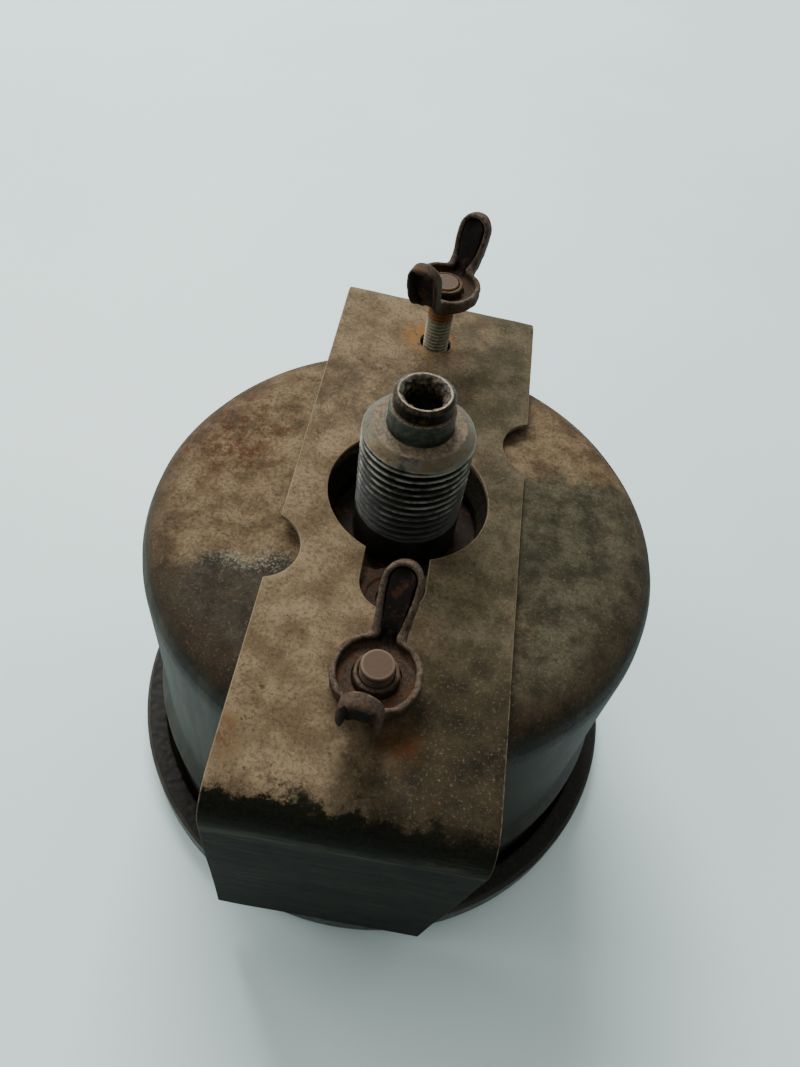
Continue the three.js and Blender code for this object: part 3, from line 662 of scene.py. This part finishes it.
def make_gasket():
    """The rubber ring behind the bezel: wrinkled on its left, and torn once near the top left."""
    low, high = box_mm("panel_gasket")
    outer = high.x
    inner = outer - 3.7
    corners = [(outer, low.z, 0.2), (outer, high.z, 0.4), (inner, high.z, 0.4), (inner, low.z, 0.2)]
    profile = refined(rounded(corners, 4), 0.35)
    tear = math.radians(166)

    def wrinkle(radius, z, angle):
        degrees = math.degrees(angle)
        aged = smooth(168, 176, degrees) * smooth(262, 246, degrees)
        here = (radius * 0.9 + rough((radius, angle * outer, 0), 2.5, 2, 9), angle * outer, 0)
        top = smooth(low.z + 0.2, high.z, z)
        ridge = rough(here, 1.5, 0.9, 6) + rough(here, 0.6, 0.6, 7)
        sunk = 0.25 * (1 - ridge) * aged + 0.5 * smooth(0.006, 0.0, abs(angle - tear))
        return radius - 0.3 * aged * max(0, rough(here, 2.2, 1.0, 8)), z - top * sunk

    shape = turned(profile, 720, shape=wrinkle)
    piece("gasket_ring", shape, "case", ["panel_gasket"], FINISHES["black_rubber"], 60)


# ---------------------------------------------------------------- neck
def threaded(top, bottom, crest, depth, pitch, run_out):
    """A shape function for turned: a right-hand thread cut into the crest radius between bottom and top."""
    def cut(radius, z, angle):
        if radius < crest - 0.05 or not bottom < z < top:
            return radius, z
        phase = ((z - bottom) / pitch - angle / TAU) % 1
        groove = smooth(0.5, 0.12, abs(phase - 0.5))
        fade = smooth(bottom, bottom + run_out, z) * smooth(top, top - run_out, z)
        return radius - depth * groove * fade, z
    return cut


def make_neck():
    """The neck, with its real screw thread, chamfered shoulder, plain nose and stepped bore."""
    low, high = box_mm("drive_neck")
    crest, nose_z = high.x, high.z
    shoulder_z = nose_z - 3.9
    bore, nose, shoulder, chamfer = 4.05, 5.2, 7.35, 1.55
    corners = [
        (bore, low.z, 0.2), (6.5, low.z, 0.3), (6.5, low.z + 3.3, 0.2), (crest, low.z + 3.3, 0.4),
        (crest, shoulder_z - chamfer, 0.5), (shoulder, shoulder_z, 0.35), (nose, shoulder_z, 0.35),
        (nose, nose_z, 0.45), (bore, nose_z, 0.2),
    ]
    profile = refined(rounded(corners, 4), 0.11)
    cut = threaded(shoulder_z - chamfer + 0.3, BACK_Z + 1.1, crest, 0.9, 1.5, 0.9)

    def shape(radius, z, angle):
        """The thread, with worn and nicked crests."""
        here = (radius * math.cos(angle), radius * math.sin(angle), z)
        radius, z = cut(radius, z, angle)
        return radius - 0.07 - rough(here, 2.4, 0.05, 3) - max(0, rough(here, 0.9, 0.12, 5)), z

    thread = turned(profile, 180, shape=shape)
    piece("neck_body", thread, "case", ["drive_neck"], FINISHES["neck_zinc"])


def make_bush():
    """The brass bush: a raised, bevelled ring over the nose, flared inside, and crusted at its mouth."""
    low, high = box_mm("neck_bush")
    ring, top = high.x, high.z
    ring_z = top - 2.4
    corners = [
        (3.05, low.z, 0.1), (3.75, low.z, 0.1), (3.75, ring_z, 0), (ring, ring_z, 0.3),
        (ring, top - 0.5, 0.3),
        (ring - 0.5, top, 0.25), (3.85, top, 0.2), (3.2, top - 1.3, 0.8), (3.05, top - 3.6, 0.8),
    ]
    profile = refined(rounded(corners, 5), 0.25)

    def crust(radius, z, angle):
        here = (radius * math.cos(angle), radius * math.sin(angle), z)
        inside = smooth(4.0, 3.6, radius) * smooth(top - 7, top - 0.5, z)
        lumps = rough(here, 0.9, 0.3, 5) + rough(here, 0.4, 0.15, 6)
        radius -= inside * (0.25 + lumps) + 0.03 * (radius > 4.2) * (1 + rough(here, 1.2, 1.0, 4))
        return radius, z - 0.06 * (1 + rough(here, 0.8, 1.0, 9)) * (z > top - 0.4)

    piece("bush_ring", turned(profile, 96, shape=crust), "case", ["neck_bush"], FINISHES["brass"])


def make_washer():
    """The washer that closes the opening round the neck."""
    low, high = box_mm("neck_washer")
    inner = box_mm("drive_neck")[1].x - 0.1
    corners = [(inner, low.z, 0.1), (high.x, low.z, 0.15), (high.x, high.z, 0.15), (inner, high.z, 0.1)]
    points, faces = turned(refined(rounded(corners, 3), 0.5), 96)
    # Painted shade over the whole washer, which lies down in the opening round the neck.
    marks = {"hollow_shade": [0.8] * len(points)}
    finish = FINISHES["rusty_steel"]
    piece("washer", (points, faces), "case", ["neck_washer"], finish, marks=marks)


def make_lamp_holder():
    """The push-in lamp holder: a cup with a rim, a stepped cap and a square slot for its blade."""
    low, high = box_mm("lamp_holder")
    y = (low.y + high.y) / 2
    rim = high.x
    wall = rim - 0.7
    corners = [
        (wall - 0.6, low.z, 0.15), (wall, low.z, 0.15), (wall, high.z - 0.4, 0.15), (rim, high.z - 0.4, 0.1),
        (rim, high.z, 0.2), (4.2, high.z, 0.15), (3.8, high.z - 0.35, 0.15), (0, high.z - 0.35, 0),
        (0, high.z - 0.9, 0), (wall - 0.6, high.z - 0.9, 0.2),
    ]
    profile = refined(rounded(corners, 3), 0.35)
    slot_x, slot_half = -1.5, 0.62

    def sink(radius, z, angle):
        x, across = radius * math.cos(angle), radius * math.sin(angle)
        reach = max(abs(x - slot_x), abs(across))
        depth = 0.7 * smooth(slot_half + 0.12, slot_half - 0.02, reach)
        return radius, z - (depth if z > high.z - 0.5 else 0)

    points, faces = turned(profile, 120, (0, y), sink)
    # Painted shade: the blade slot is painted black.
    slot = [smooth(slot_half + 0.2, slot_half, max(abs(p[0] - slot_x), abs(p[1] - y))) for p in points]
    finish = FINISHES["rusty_steel"]
    marks = {"hollow_shade": slot}
    piece("lamp_socket", (points, faces), "case", ["lamp_holder"], finish, marks=marks)


def make_stud(place, centre_y):
    """A threaded stud with its flat end."""
    low, high = box_mm(f"stud_{place}")
    head = (high.x - low.x) / 2
    shank, top = 2.5, high.z
    corners = [
        (0, low.z, 0), (head, low.z, 0.3), (head, low.z + 1.5, 0.2), (shank, low.z + 1.5, 0.2),
        (shank, top - 1.3, 0.1), (shank - 0.35, top - 1.15, 0.1), (shank - 0.3, top - 0.9, 0.1),
        (shank - 0.05, top - 0.75, 0.15), (shank - 0.12, top, 0.3), (0, top, 0),
    ]
    profile = refined(rounded(corners, 3), 0.09)
    points, faces = turned(profile, 48, (0, centre_y), threaded(top - 1.2, BACK_Z, shank, 0.42, 0.8, 0.7))
    cuts = [(math.hypot(p[0], p[1] - centre_y), p) for p in points]
    marks = {
        "groove": [smooth(shank - 0.08, shank - 0.3, r) * (BACK_Z < p[2] < top - 0.4) for r, p in cuts],
        "worn": [smooth(shank - 0.55, shank - 0.3, r) * smooth(top - 0.35, top - 0.1, p[2]) for r, p in cuts],
    }
    shape = (points, faces)
    piece(f"stud_thread_{place}", shape, "case", [f"stud_{place}"], STUD_FINISH, marks=marks)


# ---------------------------------------------------------------- clamp bracket
def bracket_outlines(inset):
    """The unrolled strip's outline and holes, moved into the metal by inset, with fixed counts of points."""
    b = BRACKET
    step = 1.3
    bend_y = b["half_length"] - b["bend"]
    leg = (b["leg_depth"] - b["bend"] * (1 + math.sin(b["lean"]))) / math.cos(b["lean"])
    end = bend_y + b["bend"] * (math.pi / 2 + b["lean"]) + leg
    side, tip = b["half_width"] - inset, end - inset
    notch = b["notch"] + inset
    half = math.sqrt(notch ** 2 - (b["notch_x"] - side) ** 2)
    swing = math.asin(half / notch)
    ny = b["hole_y"] + b["notch_y"]
    # Counts come from the uninset outline, so that every outline has the same.
    full = math.sqrt(b["notch"] ** 2 - (b["notch_x"] - b["half_width"]) ** 2)
    long_count = round((end + ny - full) / step)
    short_count = round((end - ny - full) / step)
    across = round(2 * b["half_width"] / step)

    def line(start, finish, count):
        return [tuple(p + (q - p) * i / count for p, q in zip(start, finish)) for i in range(count)]

    right = line((side, -tip), (side, ny - half), long_count)
    right += arc((b["notch_x"], ny), notch, math.pi + swing, math.pi - swing, 22)
    right += line((side, ny + half), (side, tip), short_count)[1:]
    right += line((side, tip), (-side, tip), across)
    near = b["hole_y"] - b["notch_y"]
    left = line((-side, tip), (-side, near + half), round((end - near - full) / step))
    left += arc((-b["notch_x"], near), notch, swing, -swing, 22)
    left += line((-side, near - half), (-side, -tip), round((end + near - full) / step))[1:]
    left += line((-side, -tip), (side, -tip), across)

    hole, lobe = b["hole"] + inset, b["lobe"] + inset
    open_angle = math.asin(lobe / hole)
    join_y = b["hole_y"] - hole * math.cos(open_angle)
    keyhole = arc((0, b["hole_y"]), hole, -math.pi / 2 + open_angle, 1.5 * math.pi - open_angle, 90)
    keyhole += line((-lobe, join_y), (-lobe, b["lobe_y"]), 5)[1:]
    keyhole += arc((0, b["lobe_y"]), lobe, math.pi, TAU, 26)
    keyhole += line((lobe, b["lobe_y"]), (lobe, join_y), 5)[1:]
    studs = [arc((0, y), b["stud_hole"] + inset, 0, TAU, 36)[:-1] for y in (NEAR_Y, FAR_Y)]
    return [right + left, keyhole, *studs], end


def bracket_place(x, s, depth):
    """A point of the flat strip, depth below its outer face, on the bent and rolled bracket."""
    b = BRACKET
    bend_y = b["half_length"] - b["bend"]
    past = abs(s) - bend_y
    if past <= 0:
        y, z = abs(s), -depth
    else:
        turn = min(past / b["bend"], math.pi / 2 + b["lean"])
        rest = past - b["bend"] * turn
        y = bend_y + (b["bend"] - depth) * math.sin(turn) + rest * math.cos(turn)
        z = -b["bend"] + (b["bend"] - depth) * math.cos(turn) - rest * math.sin(turn)
    point = Matrix.Rotation(b["roll"], 3, "Y") @ Vector((x, math.copysign(y, s), z))
    return point + Vector((0, 0, b["top_z"]))


def inside_outlines(point, outlines):
    """Whether a flat point lies in the first outline and in none of the others."""
    hits = 0
    x, y = point
    for outline in outlines:
        for i, (x1, y1) in enumerate(outline):
            x0, y0 = outline[i - 1]
            if (y0 > y) != (y1 > y) and x < x0 + (x1 - x0) * (y - y0) / (y1 - y0):
                hits += 1
    return hits % 2 == 1


def make_bracket():
    """The clamp: one strip with rounded edges, its holes and notches, bent down at both ends."""
    sheet, edge = BRACKET["sheet"], 0.22
    half_width = BRACKET["half_width"]
    steps = 3
    insets = []
    for k in range(steps + 1):
        a = math.pi / 2 * k / steps
        insets.append((edge * (1 - math.sin(a)), edge * (1 - math.cos(a))))
    rings = insets + [(i, sheet - d) for i, d in reversed(insets)]
    outlines, end = bracket_outlines(edge)
    flat, loops = [], []
    for outline in outlines:
        loops.append(range(len(flat), len(flat) + len(outline)))
        flat += outline
    edges = [(loop[i - 1], loop[i]) for loop in loops for i in range(len(loop))]
    spacing, margin = 1.5, 0.7
    rim = [Vector(p) for p in flat]
    columns = int(2 * half_width / spacing)
    rows = int(2 * end / spacing)
    for row in range(1, rows):
        for column in range(1, columns):
            x = -half_width + 2 * half_width * (column + 0.5 * (row % 2)) / columns
            spot = (x, -end + 2 * end * row / rows)
            near_hole = abs(spot[1]) < 50 and min((Vector(spot) - p).length for p in rim) < margin
            if abs(x) < half_width - edge - margin and not near_hole and inside_outlines(spot, outlines):
                flat.append(spot)
    verts, _, triangles, origin, _, _ = delaunay_2d_cdt([Vector(p) for p in flat], edges, [], 0, 1e-6)
    middle = lambda t: sum((verts[i] for i in t), Vector((0, 0))) / 3
    triangles = [t for t in triangles if inside_outlines(middle(t), outlines)]
    place = {old: new for new, olds in enumerate(origin) for old in olds}

    def laid(x, s, depth):
        """Onto the bracket, with slight waves in the sheet."""
        wave = 0.14 + rough((x, s, 0), 15, 0.2, 2) + rough((x, s, 0), 6, 0.05, 3)
        return bracket_place(x, s, depth + max(wave, 0))

    points = [laid(v.x, v.y, 0) for v in verts] + [laid(v.x, v.y, sheet) for v in verts]
    count = len(verts)
    faces = [tuple(t) for t in triangles] + [tuple(i + count for i in reversed(t)) for t in triangles]
    previous = [[place[i] for i in loop] for loop in loops]
    last = [[i + count for i in ring] for ring in previous]
    for inset, depth in rings[1:-1]:
        current = []
        for outline in bracket_outlines(inset)[0]:
            current.append(list(range(len(points), len(points) + len(outline))))
            points += [laid(x, s, depth) for x, s in outline]
        faces += stitched(previous, current)
        previous = current
    faces += stitched(previous, last)
    worn = [0.0] * (2 * count) + [1.0] * (len(points) - 2 * count)
    shape, finish = (points, faces), FINISHES["bracket_steel"]
    piece("bracket_strip", shape, "bracket", ["clamp_bracket"], finish, marks={"worn": worn})


def stitched(first, second):
    """Quads between matching closed rings of point numbers."""
    faces = []
    for a, b in zip(first, second):
        for i in range(len(a)):
            faces.append((a[i - 1], a[i], b[i], b[i - 1]))
    return faces


# ---------------------------------------------------------------- wing nuts
def wing_outline(inset, squeeze=0.0):
    """The flat blank of dish and ears, moved in by inset, and by squeeze as well at the ears' roots."""
    dish, ear, length, root = 6.75 - inset, 3.15 - inset, 19, 2.7 - inset - squeeze
    tip_x = length - 3.15
    join = math.asin(root / dish)
    join_x = dish * math.cos(join)
    flank = []
    for i in range(1, 15):
        x = join_x + (tip_x - join_x) * i / 14
        flank.append((x, root + (ear - root) * smooth(0.1, 0.9, i / 14)))
    quarter = arc((0, 0), dish, math.pi / 2, join, 12) + flank + arc((tip_x, 0), ear, math.pi / 2, 0, 8)[1:]
    lower = [(x, -y) for x, y in reversed(quarter[:-1])]
    right = quarter + lower
    left = [(-x, y) for x, y in reversed(right[1:-1])]
    outline = right + left
    for _ in range(3):
        count = len(outline)
        outline = [
            tuple((outline[i - 1][k] + 2 * outline[i][k] + outline[(i + 1) % count][k]) / 4 for k in (0, 1))
            for i in range(count)
        ]
    return outline


def bent_up(x, z, angle):
    """Bends a point of the blank up, beyond the start of the bend on either side."""
    start, radius = 4.4, 6.0
    past = abs(x) - start
    if past <= 0:
        return x, z
    turn = min(past / radius, angle)
    rest = past - radius * turn
    reach = (radius - z) * math.sin(turn) + rest * math.cos(turn)
    height = radius - (radius - z) * math.cos(turn) + rest * math.sin(turn)
    return math.copysign(start + reach, x), height


def make_nut(place, centre_y, ear_angles, heading, wing_body, bush_body):
    """A two-piece pressed wing nut: a bush with a tapered foot, and a dish with two ears."""
    low, high = box_mm(f"nut_bush_{place}")
    seat = (high.x - low.x) / 2
    bore, foot, hub, foot_height = 2.62, 3.2, 3.4, 0.8
    seat_z = low.z + foot_height
    corners = [
        (bore, low.z, 0.2), (foot, low.z, 0.15), (seat, seat_z, 0.15), (hub, seat_z, 0.2),
        (hub, high.z, 0.45), (bore, high.z, 0.3),
    ]

    def lumpy(radius, z, angle):
        here = (radius * math.cos(angle), radius * math.sin(angle), z)
        grow = smooth(bore, hub, radius) * smooth(seat_z, seat_z + 1, z)
        top = 0.1 * smooth(high.z - 1, high.z, z) * (1 + rough(here, 0.9, 1.0))
        return radius - grow * (0.12 + rough(here, 1.0, 0.12, 2)), z - top

    points, faces = turned(refined(rounded(corners, 3), 0.3), 64, (0, centre_y), lumpy)
    marks = {
        "orange": [smooth(seat_z + 0.4, seat_z, p[2]) for p in points],
        "worn": [0.7 * smooth(high.z - 0.5, high.z - 0.15, p[2]) for p in points],
    }
    finish = FINISHES["rusty_steel"]
    shape = (points, faces)
    piece(f"bush_{place}", shape, bush_body, [f"nut_bush_{place}"], finish, marks=marks)

    sheet, wall, hole_radius, closing = 0.95, 2.5, 3.7, 0.6
    fillet = 0.5
    outer = wing_outline(0)
    around = [math.atan2(y, x) for x, y in outer]
    hole = [(hole_radius * math.cos(a), hole_radius * math.sin(a)) for a in around]
    inner = wing_outline(sheet, closing)

    def between(first, second, t):
        return [tuple(p + (q - p) * t for p, q in zip(a, b)) for a, b in zip(first, second)]

    # Each loop is an outline, its height, how worn the sheet is there, and how far inside the ear it lies,
    # which sets its painted shade.
    floor = [k / 8 for k in range(9)]
    loops = [(between(hole, wing_outline(fillet), t), 0, 0, 0) for t in floor]
    for k in range(1, 5):
        a = math.pi / 2 * k / 4
        loops.append((wing_outline(fillet * (1 - math.sin(a))), fillet * (1 - math.cos(a)), 0, 0))
    loops += [(outer, fillet + (wall - sheet / 2 - fillet) * k / 3, 0.1 * k, 0) for k in range(1, 4)]
    for k in range(1, 6):
        a = math.pi * k / 6
        over = (1 - math.cos(a)) / 2
        loops.append((wing_outline(sheet * over, closing * over), wall - sheet / 2 * (1 - math.sin(a)), 1, 0))
    loops += [(inner, sheet + (wall - 1.5 * sheet) * (1 - k / 3), 0, (k + 1) / 3) for k in range(0, 3)]
    loops.append((wing_outline(sheet + 0.12, closing), sheet + 0.12, 0, 1))
    loops += [(between(wing_outline(sheet + 0.25, closing), hole, t), sheet, 0, 1) for t in floor]

    turn = Matrix.Rotation(math.radians(90 - heading), 3, "Z")
    base = Vector((0, centre_y, seat_z + 0.3))
    points, rings, worn, hollow_shade = [], [], [], []
    for outline, z, rubbed, deep in loops:
        rings.append(list(range(len(points), len(points) + len(outline))))
        for x, y in outline:
            pressed = smooth(6.5, 8, abs(x)) * smooth(18.2, 17.2, abs(x)) * smooth(2.5, 1.8, abs(y))
            pressed *= z < sheet + 0.05
            ear_angle = math.radians(ear_angles[0 if x > 0 else 1])
            bent_x, height = bent_up(x, z + 1.4 * pressed, ear_angle)
            spot = (bent_x, y, height)
            pinch = 0.12 + rough(spot, 3, 0.08, 8) + rough(spot, 0.9, 0.12, 9)
            points.append(turn @ Vector((bent_x * (1 - pinch / 19), y * (1 - pinch / 4), height)) + base)
            worn.append(rubbed)
            # Painted shade inside the ears and in the pressed dents.
            hollow_shade.append(max(deep * smooth(4.2, 7, abs(x)), pressed))
    faces = []
    for k, ring in enumerate(rings):
        faces += stitched([ring], [rings[(k + 1) % len(rings)]])
    marks = {"worn": worn, "hollow_shade": hollow_shade}
    shape = (points, faces)
    piece(f"wing_sheet_{place}", shape, wing_body, [f"wing_{place}"], finish, marks=marks)


# ---------------------------------------------------------------- the front, which faces down
def make_glass():
    """The window, with ground edges."""
    low, high = box_mm("front_glass")
    corners = [(0, low.z, 0), (high.x, low.z, 0.3), (high.x, high.z, 0.3), (0, high.z, 0)]
    profile = refined(rounded(corners, 3), 4)
    piece("window", turned(profile, 160), "case", ["front_glass"], FINISHES["glass"])


def make_marks():
    """Generic graduations on the dial, round the pointer's 250 degrees."""
    low, _ = box_mm("dial")
    start, sweep, count = math.radians(135 + 90), math.radians(250), 50
    points, faces = [], []
    for i in range(count + 1):
        angle = start + sweep * i / count
        long_mark = i % 5 == 0
        inner, half = (34.5, 0.45) if long_mark else (37, 0.2)
        along = Vector((math.cos(angle), math.sin(angle), 0))
        across = Vector((-along.y, along.x, 0))
        base = len(points)
        for z in (low.z - 0.12, low.z - 0.01):
            for reach, side in ((inner, -half), (40, -half), (40, half), (inner, half)):
                points.append(along * reach + across * side + Vector((0, 0, z)))
        faces += [(base + 3, base + 2, base + 1, base), (base + 4, base + 5, base + 6, base + 7)]
        for k in range(4):
            n = (k + 1) % 4
            faces.append((base + k, base + n, base + 4 + n, base + 4 + k))
    piece("dial_marks", (points, faces), "case", [], FINISHES["pointer_white"])


def finish_frame():
    """Gives every CAD node that still shows its slot's finish."""
    slots = {part["node"]: part["material_slot"] for part in frame["record"]["subparts"]}
    for node, thing in frame["nodes"].items():
        thing.data.materials.clear()
        thing.data.materials.append(FINISHES[slots[node]])


# ---------------------------------------------------------------- floor, light and camera
SKY_TOWARD = (-0.2, 0.55, 0.7)
SKY_LEVELS = (0.12, 0.82)


def make_stage():
    """A pale floor, soft light from behind and the left, and a sky that darkens towards the front."""
    bm = bmesh.new()
    half = 3.0
    corners = ((-half, -half), (half, -half), (half, half), (-half, half))
    bm.faces.new([bm.verts.new((x, y, 0)) for x, y in corners])
    mesh = bpy.data.meshes.new("floor")
    bm.to_mesh(mesh)
    bm.free()
    floor = bpy.data.objects.new("floor", mesh)
    bpy.context.collection.objects.link(floor)
    f = Finish("floor_paint", Roughness=0.5)
    f.set("Base Color", f.mix(f.fade(f.noise(160, 3), 0.3, 0.7), rgb(206, 230, 230), rgb(214, 236, 236)))
    mesh.materials.append(f.material)

    world = bpy.data.worlds.new("studio")
    bpy.context.scene.world = world
    world.use_nodes = True
    tree = world.node_tree
    direction = tree.nodes.new("ShaderNodeTexCoord")
    toward = tree.nodes.new("ShaderNodeVectorMath")
    toward.operation = "DOT_PRODUCT"
    toward.inputs[1].default_value = SKY_TOWARD
    tree.links.new(direction.outputs["Generated"], toward.inputs[0])
    level = tree.nodes.new("ShaderNodeMapRange")
    level.interpolation_type = "SMOOTHSTEP"
    for index, value in enumerate((-0.35, 0.8, *SKY_LEVELS), start=1):
        level.inputs[index].default_value = value
    tree.links.new(toward.outputs["Value"], level.inputs[0])
    background = tree.nodes["Background"]
    background.inputs["Color"].default_value = (0.96, 0.97, 0.94, 1)
    tree.links.new(level.outputs[0], background.inputs["Strength"])

    def soft_light(name, place, aim, size, power, colour):
        light = bpy.data.lights.new(name, "AREA")
        light.shape = "RECTANGLE"
        light.size, light.size_y = size
        light.energy = power
        light.color = colour
        lamp = bpy.data.objects.new(name, light)
        lamp.location = place
        lamp.rotation_euler = (Vector(aim) - Vector(place)).to_track_quat("-Z", "Y").to_euler()
        bpy.context.collection.objects.link(lamp)

    soft_light("window_light", (-0.3, 0.8, 0.95), (0, 0, 0.05), (0.6, 0.4), 20, (1.0, 1.0, 0.98))
    soft_light("left_light", (-0.9, 0.25, 0.6), (0, 0, 0.05), (0.6, 0.5), 4, (1.0, 0.99, 0.97))


def make_camera():
    """The camera, as a point in millimetres and the angles that turn it."""
    place = Vector((0.7575, -88.705, 179.075)) * MM
    yaw, pitch, roll = -0.01282, -0.91235, -0.16163
    focal_px, image_height = 814.676, 1067
    forward = Vector((math.sin(yaw) * math.cos(pitch), math.cos(yaw) * math.cos(pitch), math.sin(pitch)))
    right = Vector((math.cos(yaw), -math.sin(yaw), 0))
    down = forward.cross(right)
    right, down = (
        math.cos(roll) * right + math.sin(roll) * down,
        -math.sin(roll) * right + math.cos(roll) * down,
    )
    data = bpy.data.cameras.new("camera")
    data.sensor_width = 36
    data.lens = 36 * focal_px / image_height
    data.clip_start = 0.01
    camera = bpy.data.objects.new("camera", data)
    turned_axes = Matrix((right, -down, -forward)).transposed().to_4x4()
    camera.matrix_world = Matrix.Translation(place) @ turned_axes
    bpy.context.collection.objects.link(camera)
    bpy.context.scene.camera = camera


make_camera()
make_stage()
finish_frame()
make_case()
make_bezel()
make_gasket()
make_neck()
make_bush()
make_washer()
make_lamp_holder()
make_stud("near", NEAR_Y)
make_stud("far", FAR_Y)
make_bracket()
make_nut("near", NEAR_Y, (46, 92), 7, "near_nut", "near_nut")
make_nut("far", FAR_Y, (72, 78), 22, "far_wing", "far_bush")
make_glass()
make_marks()
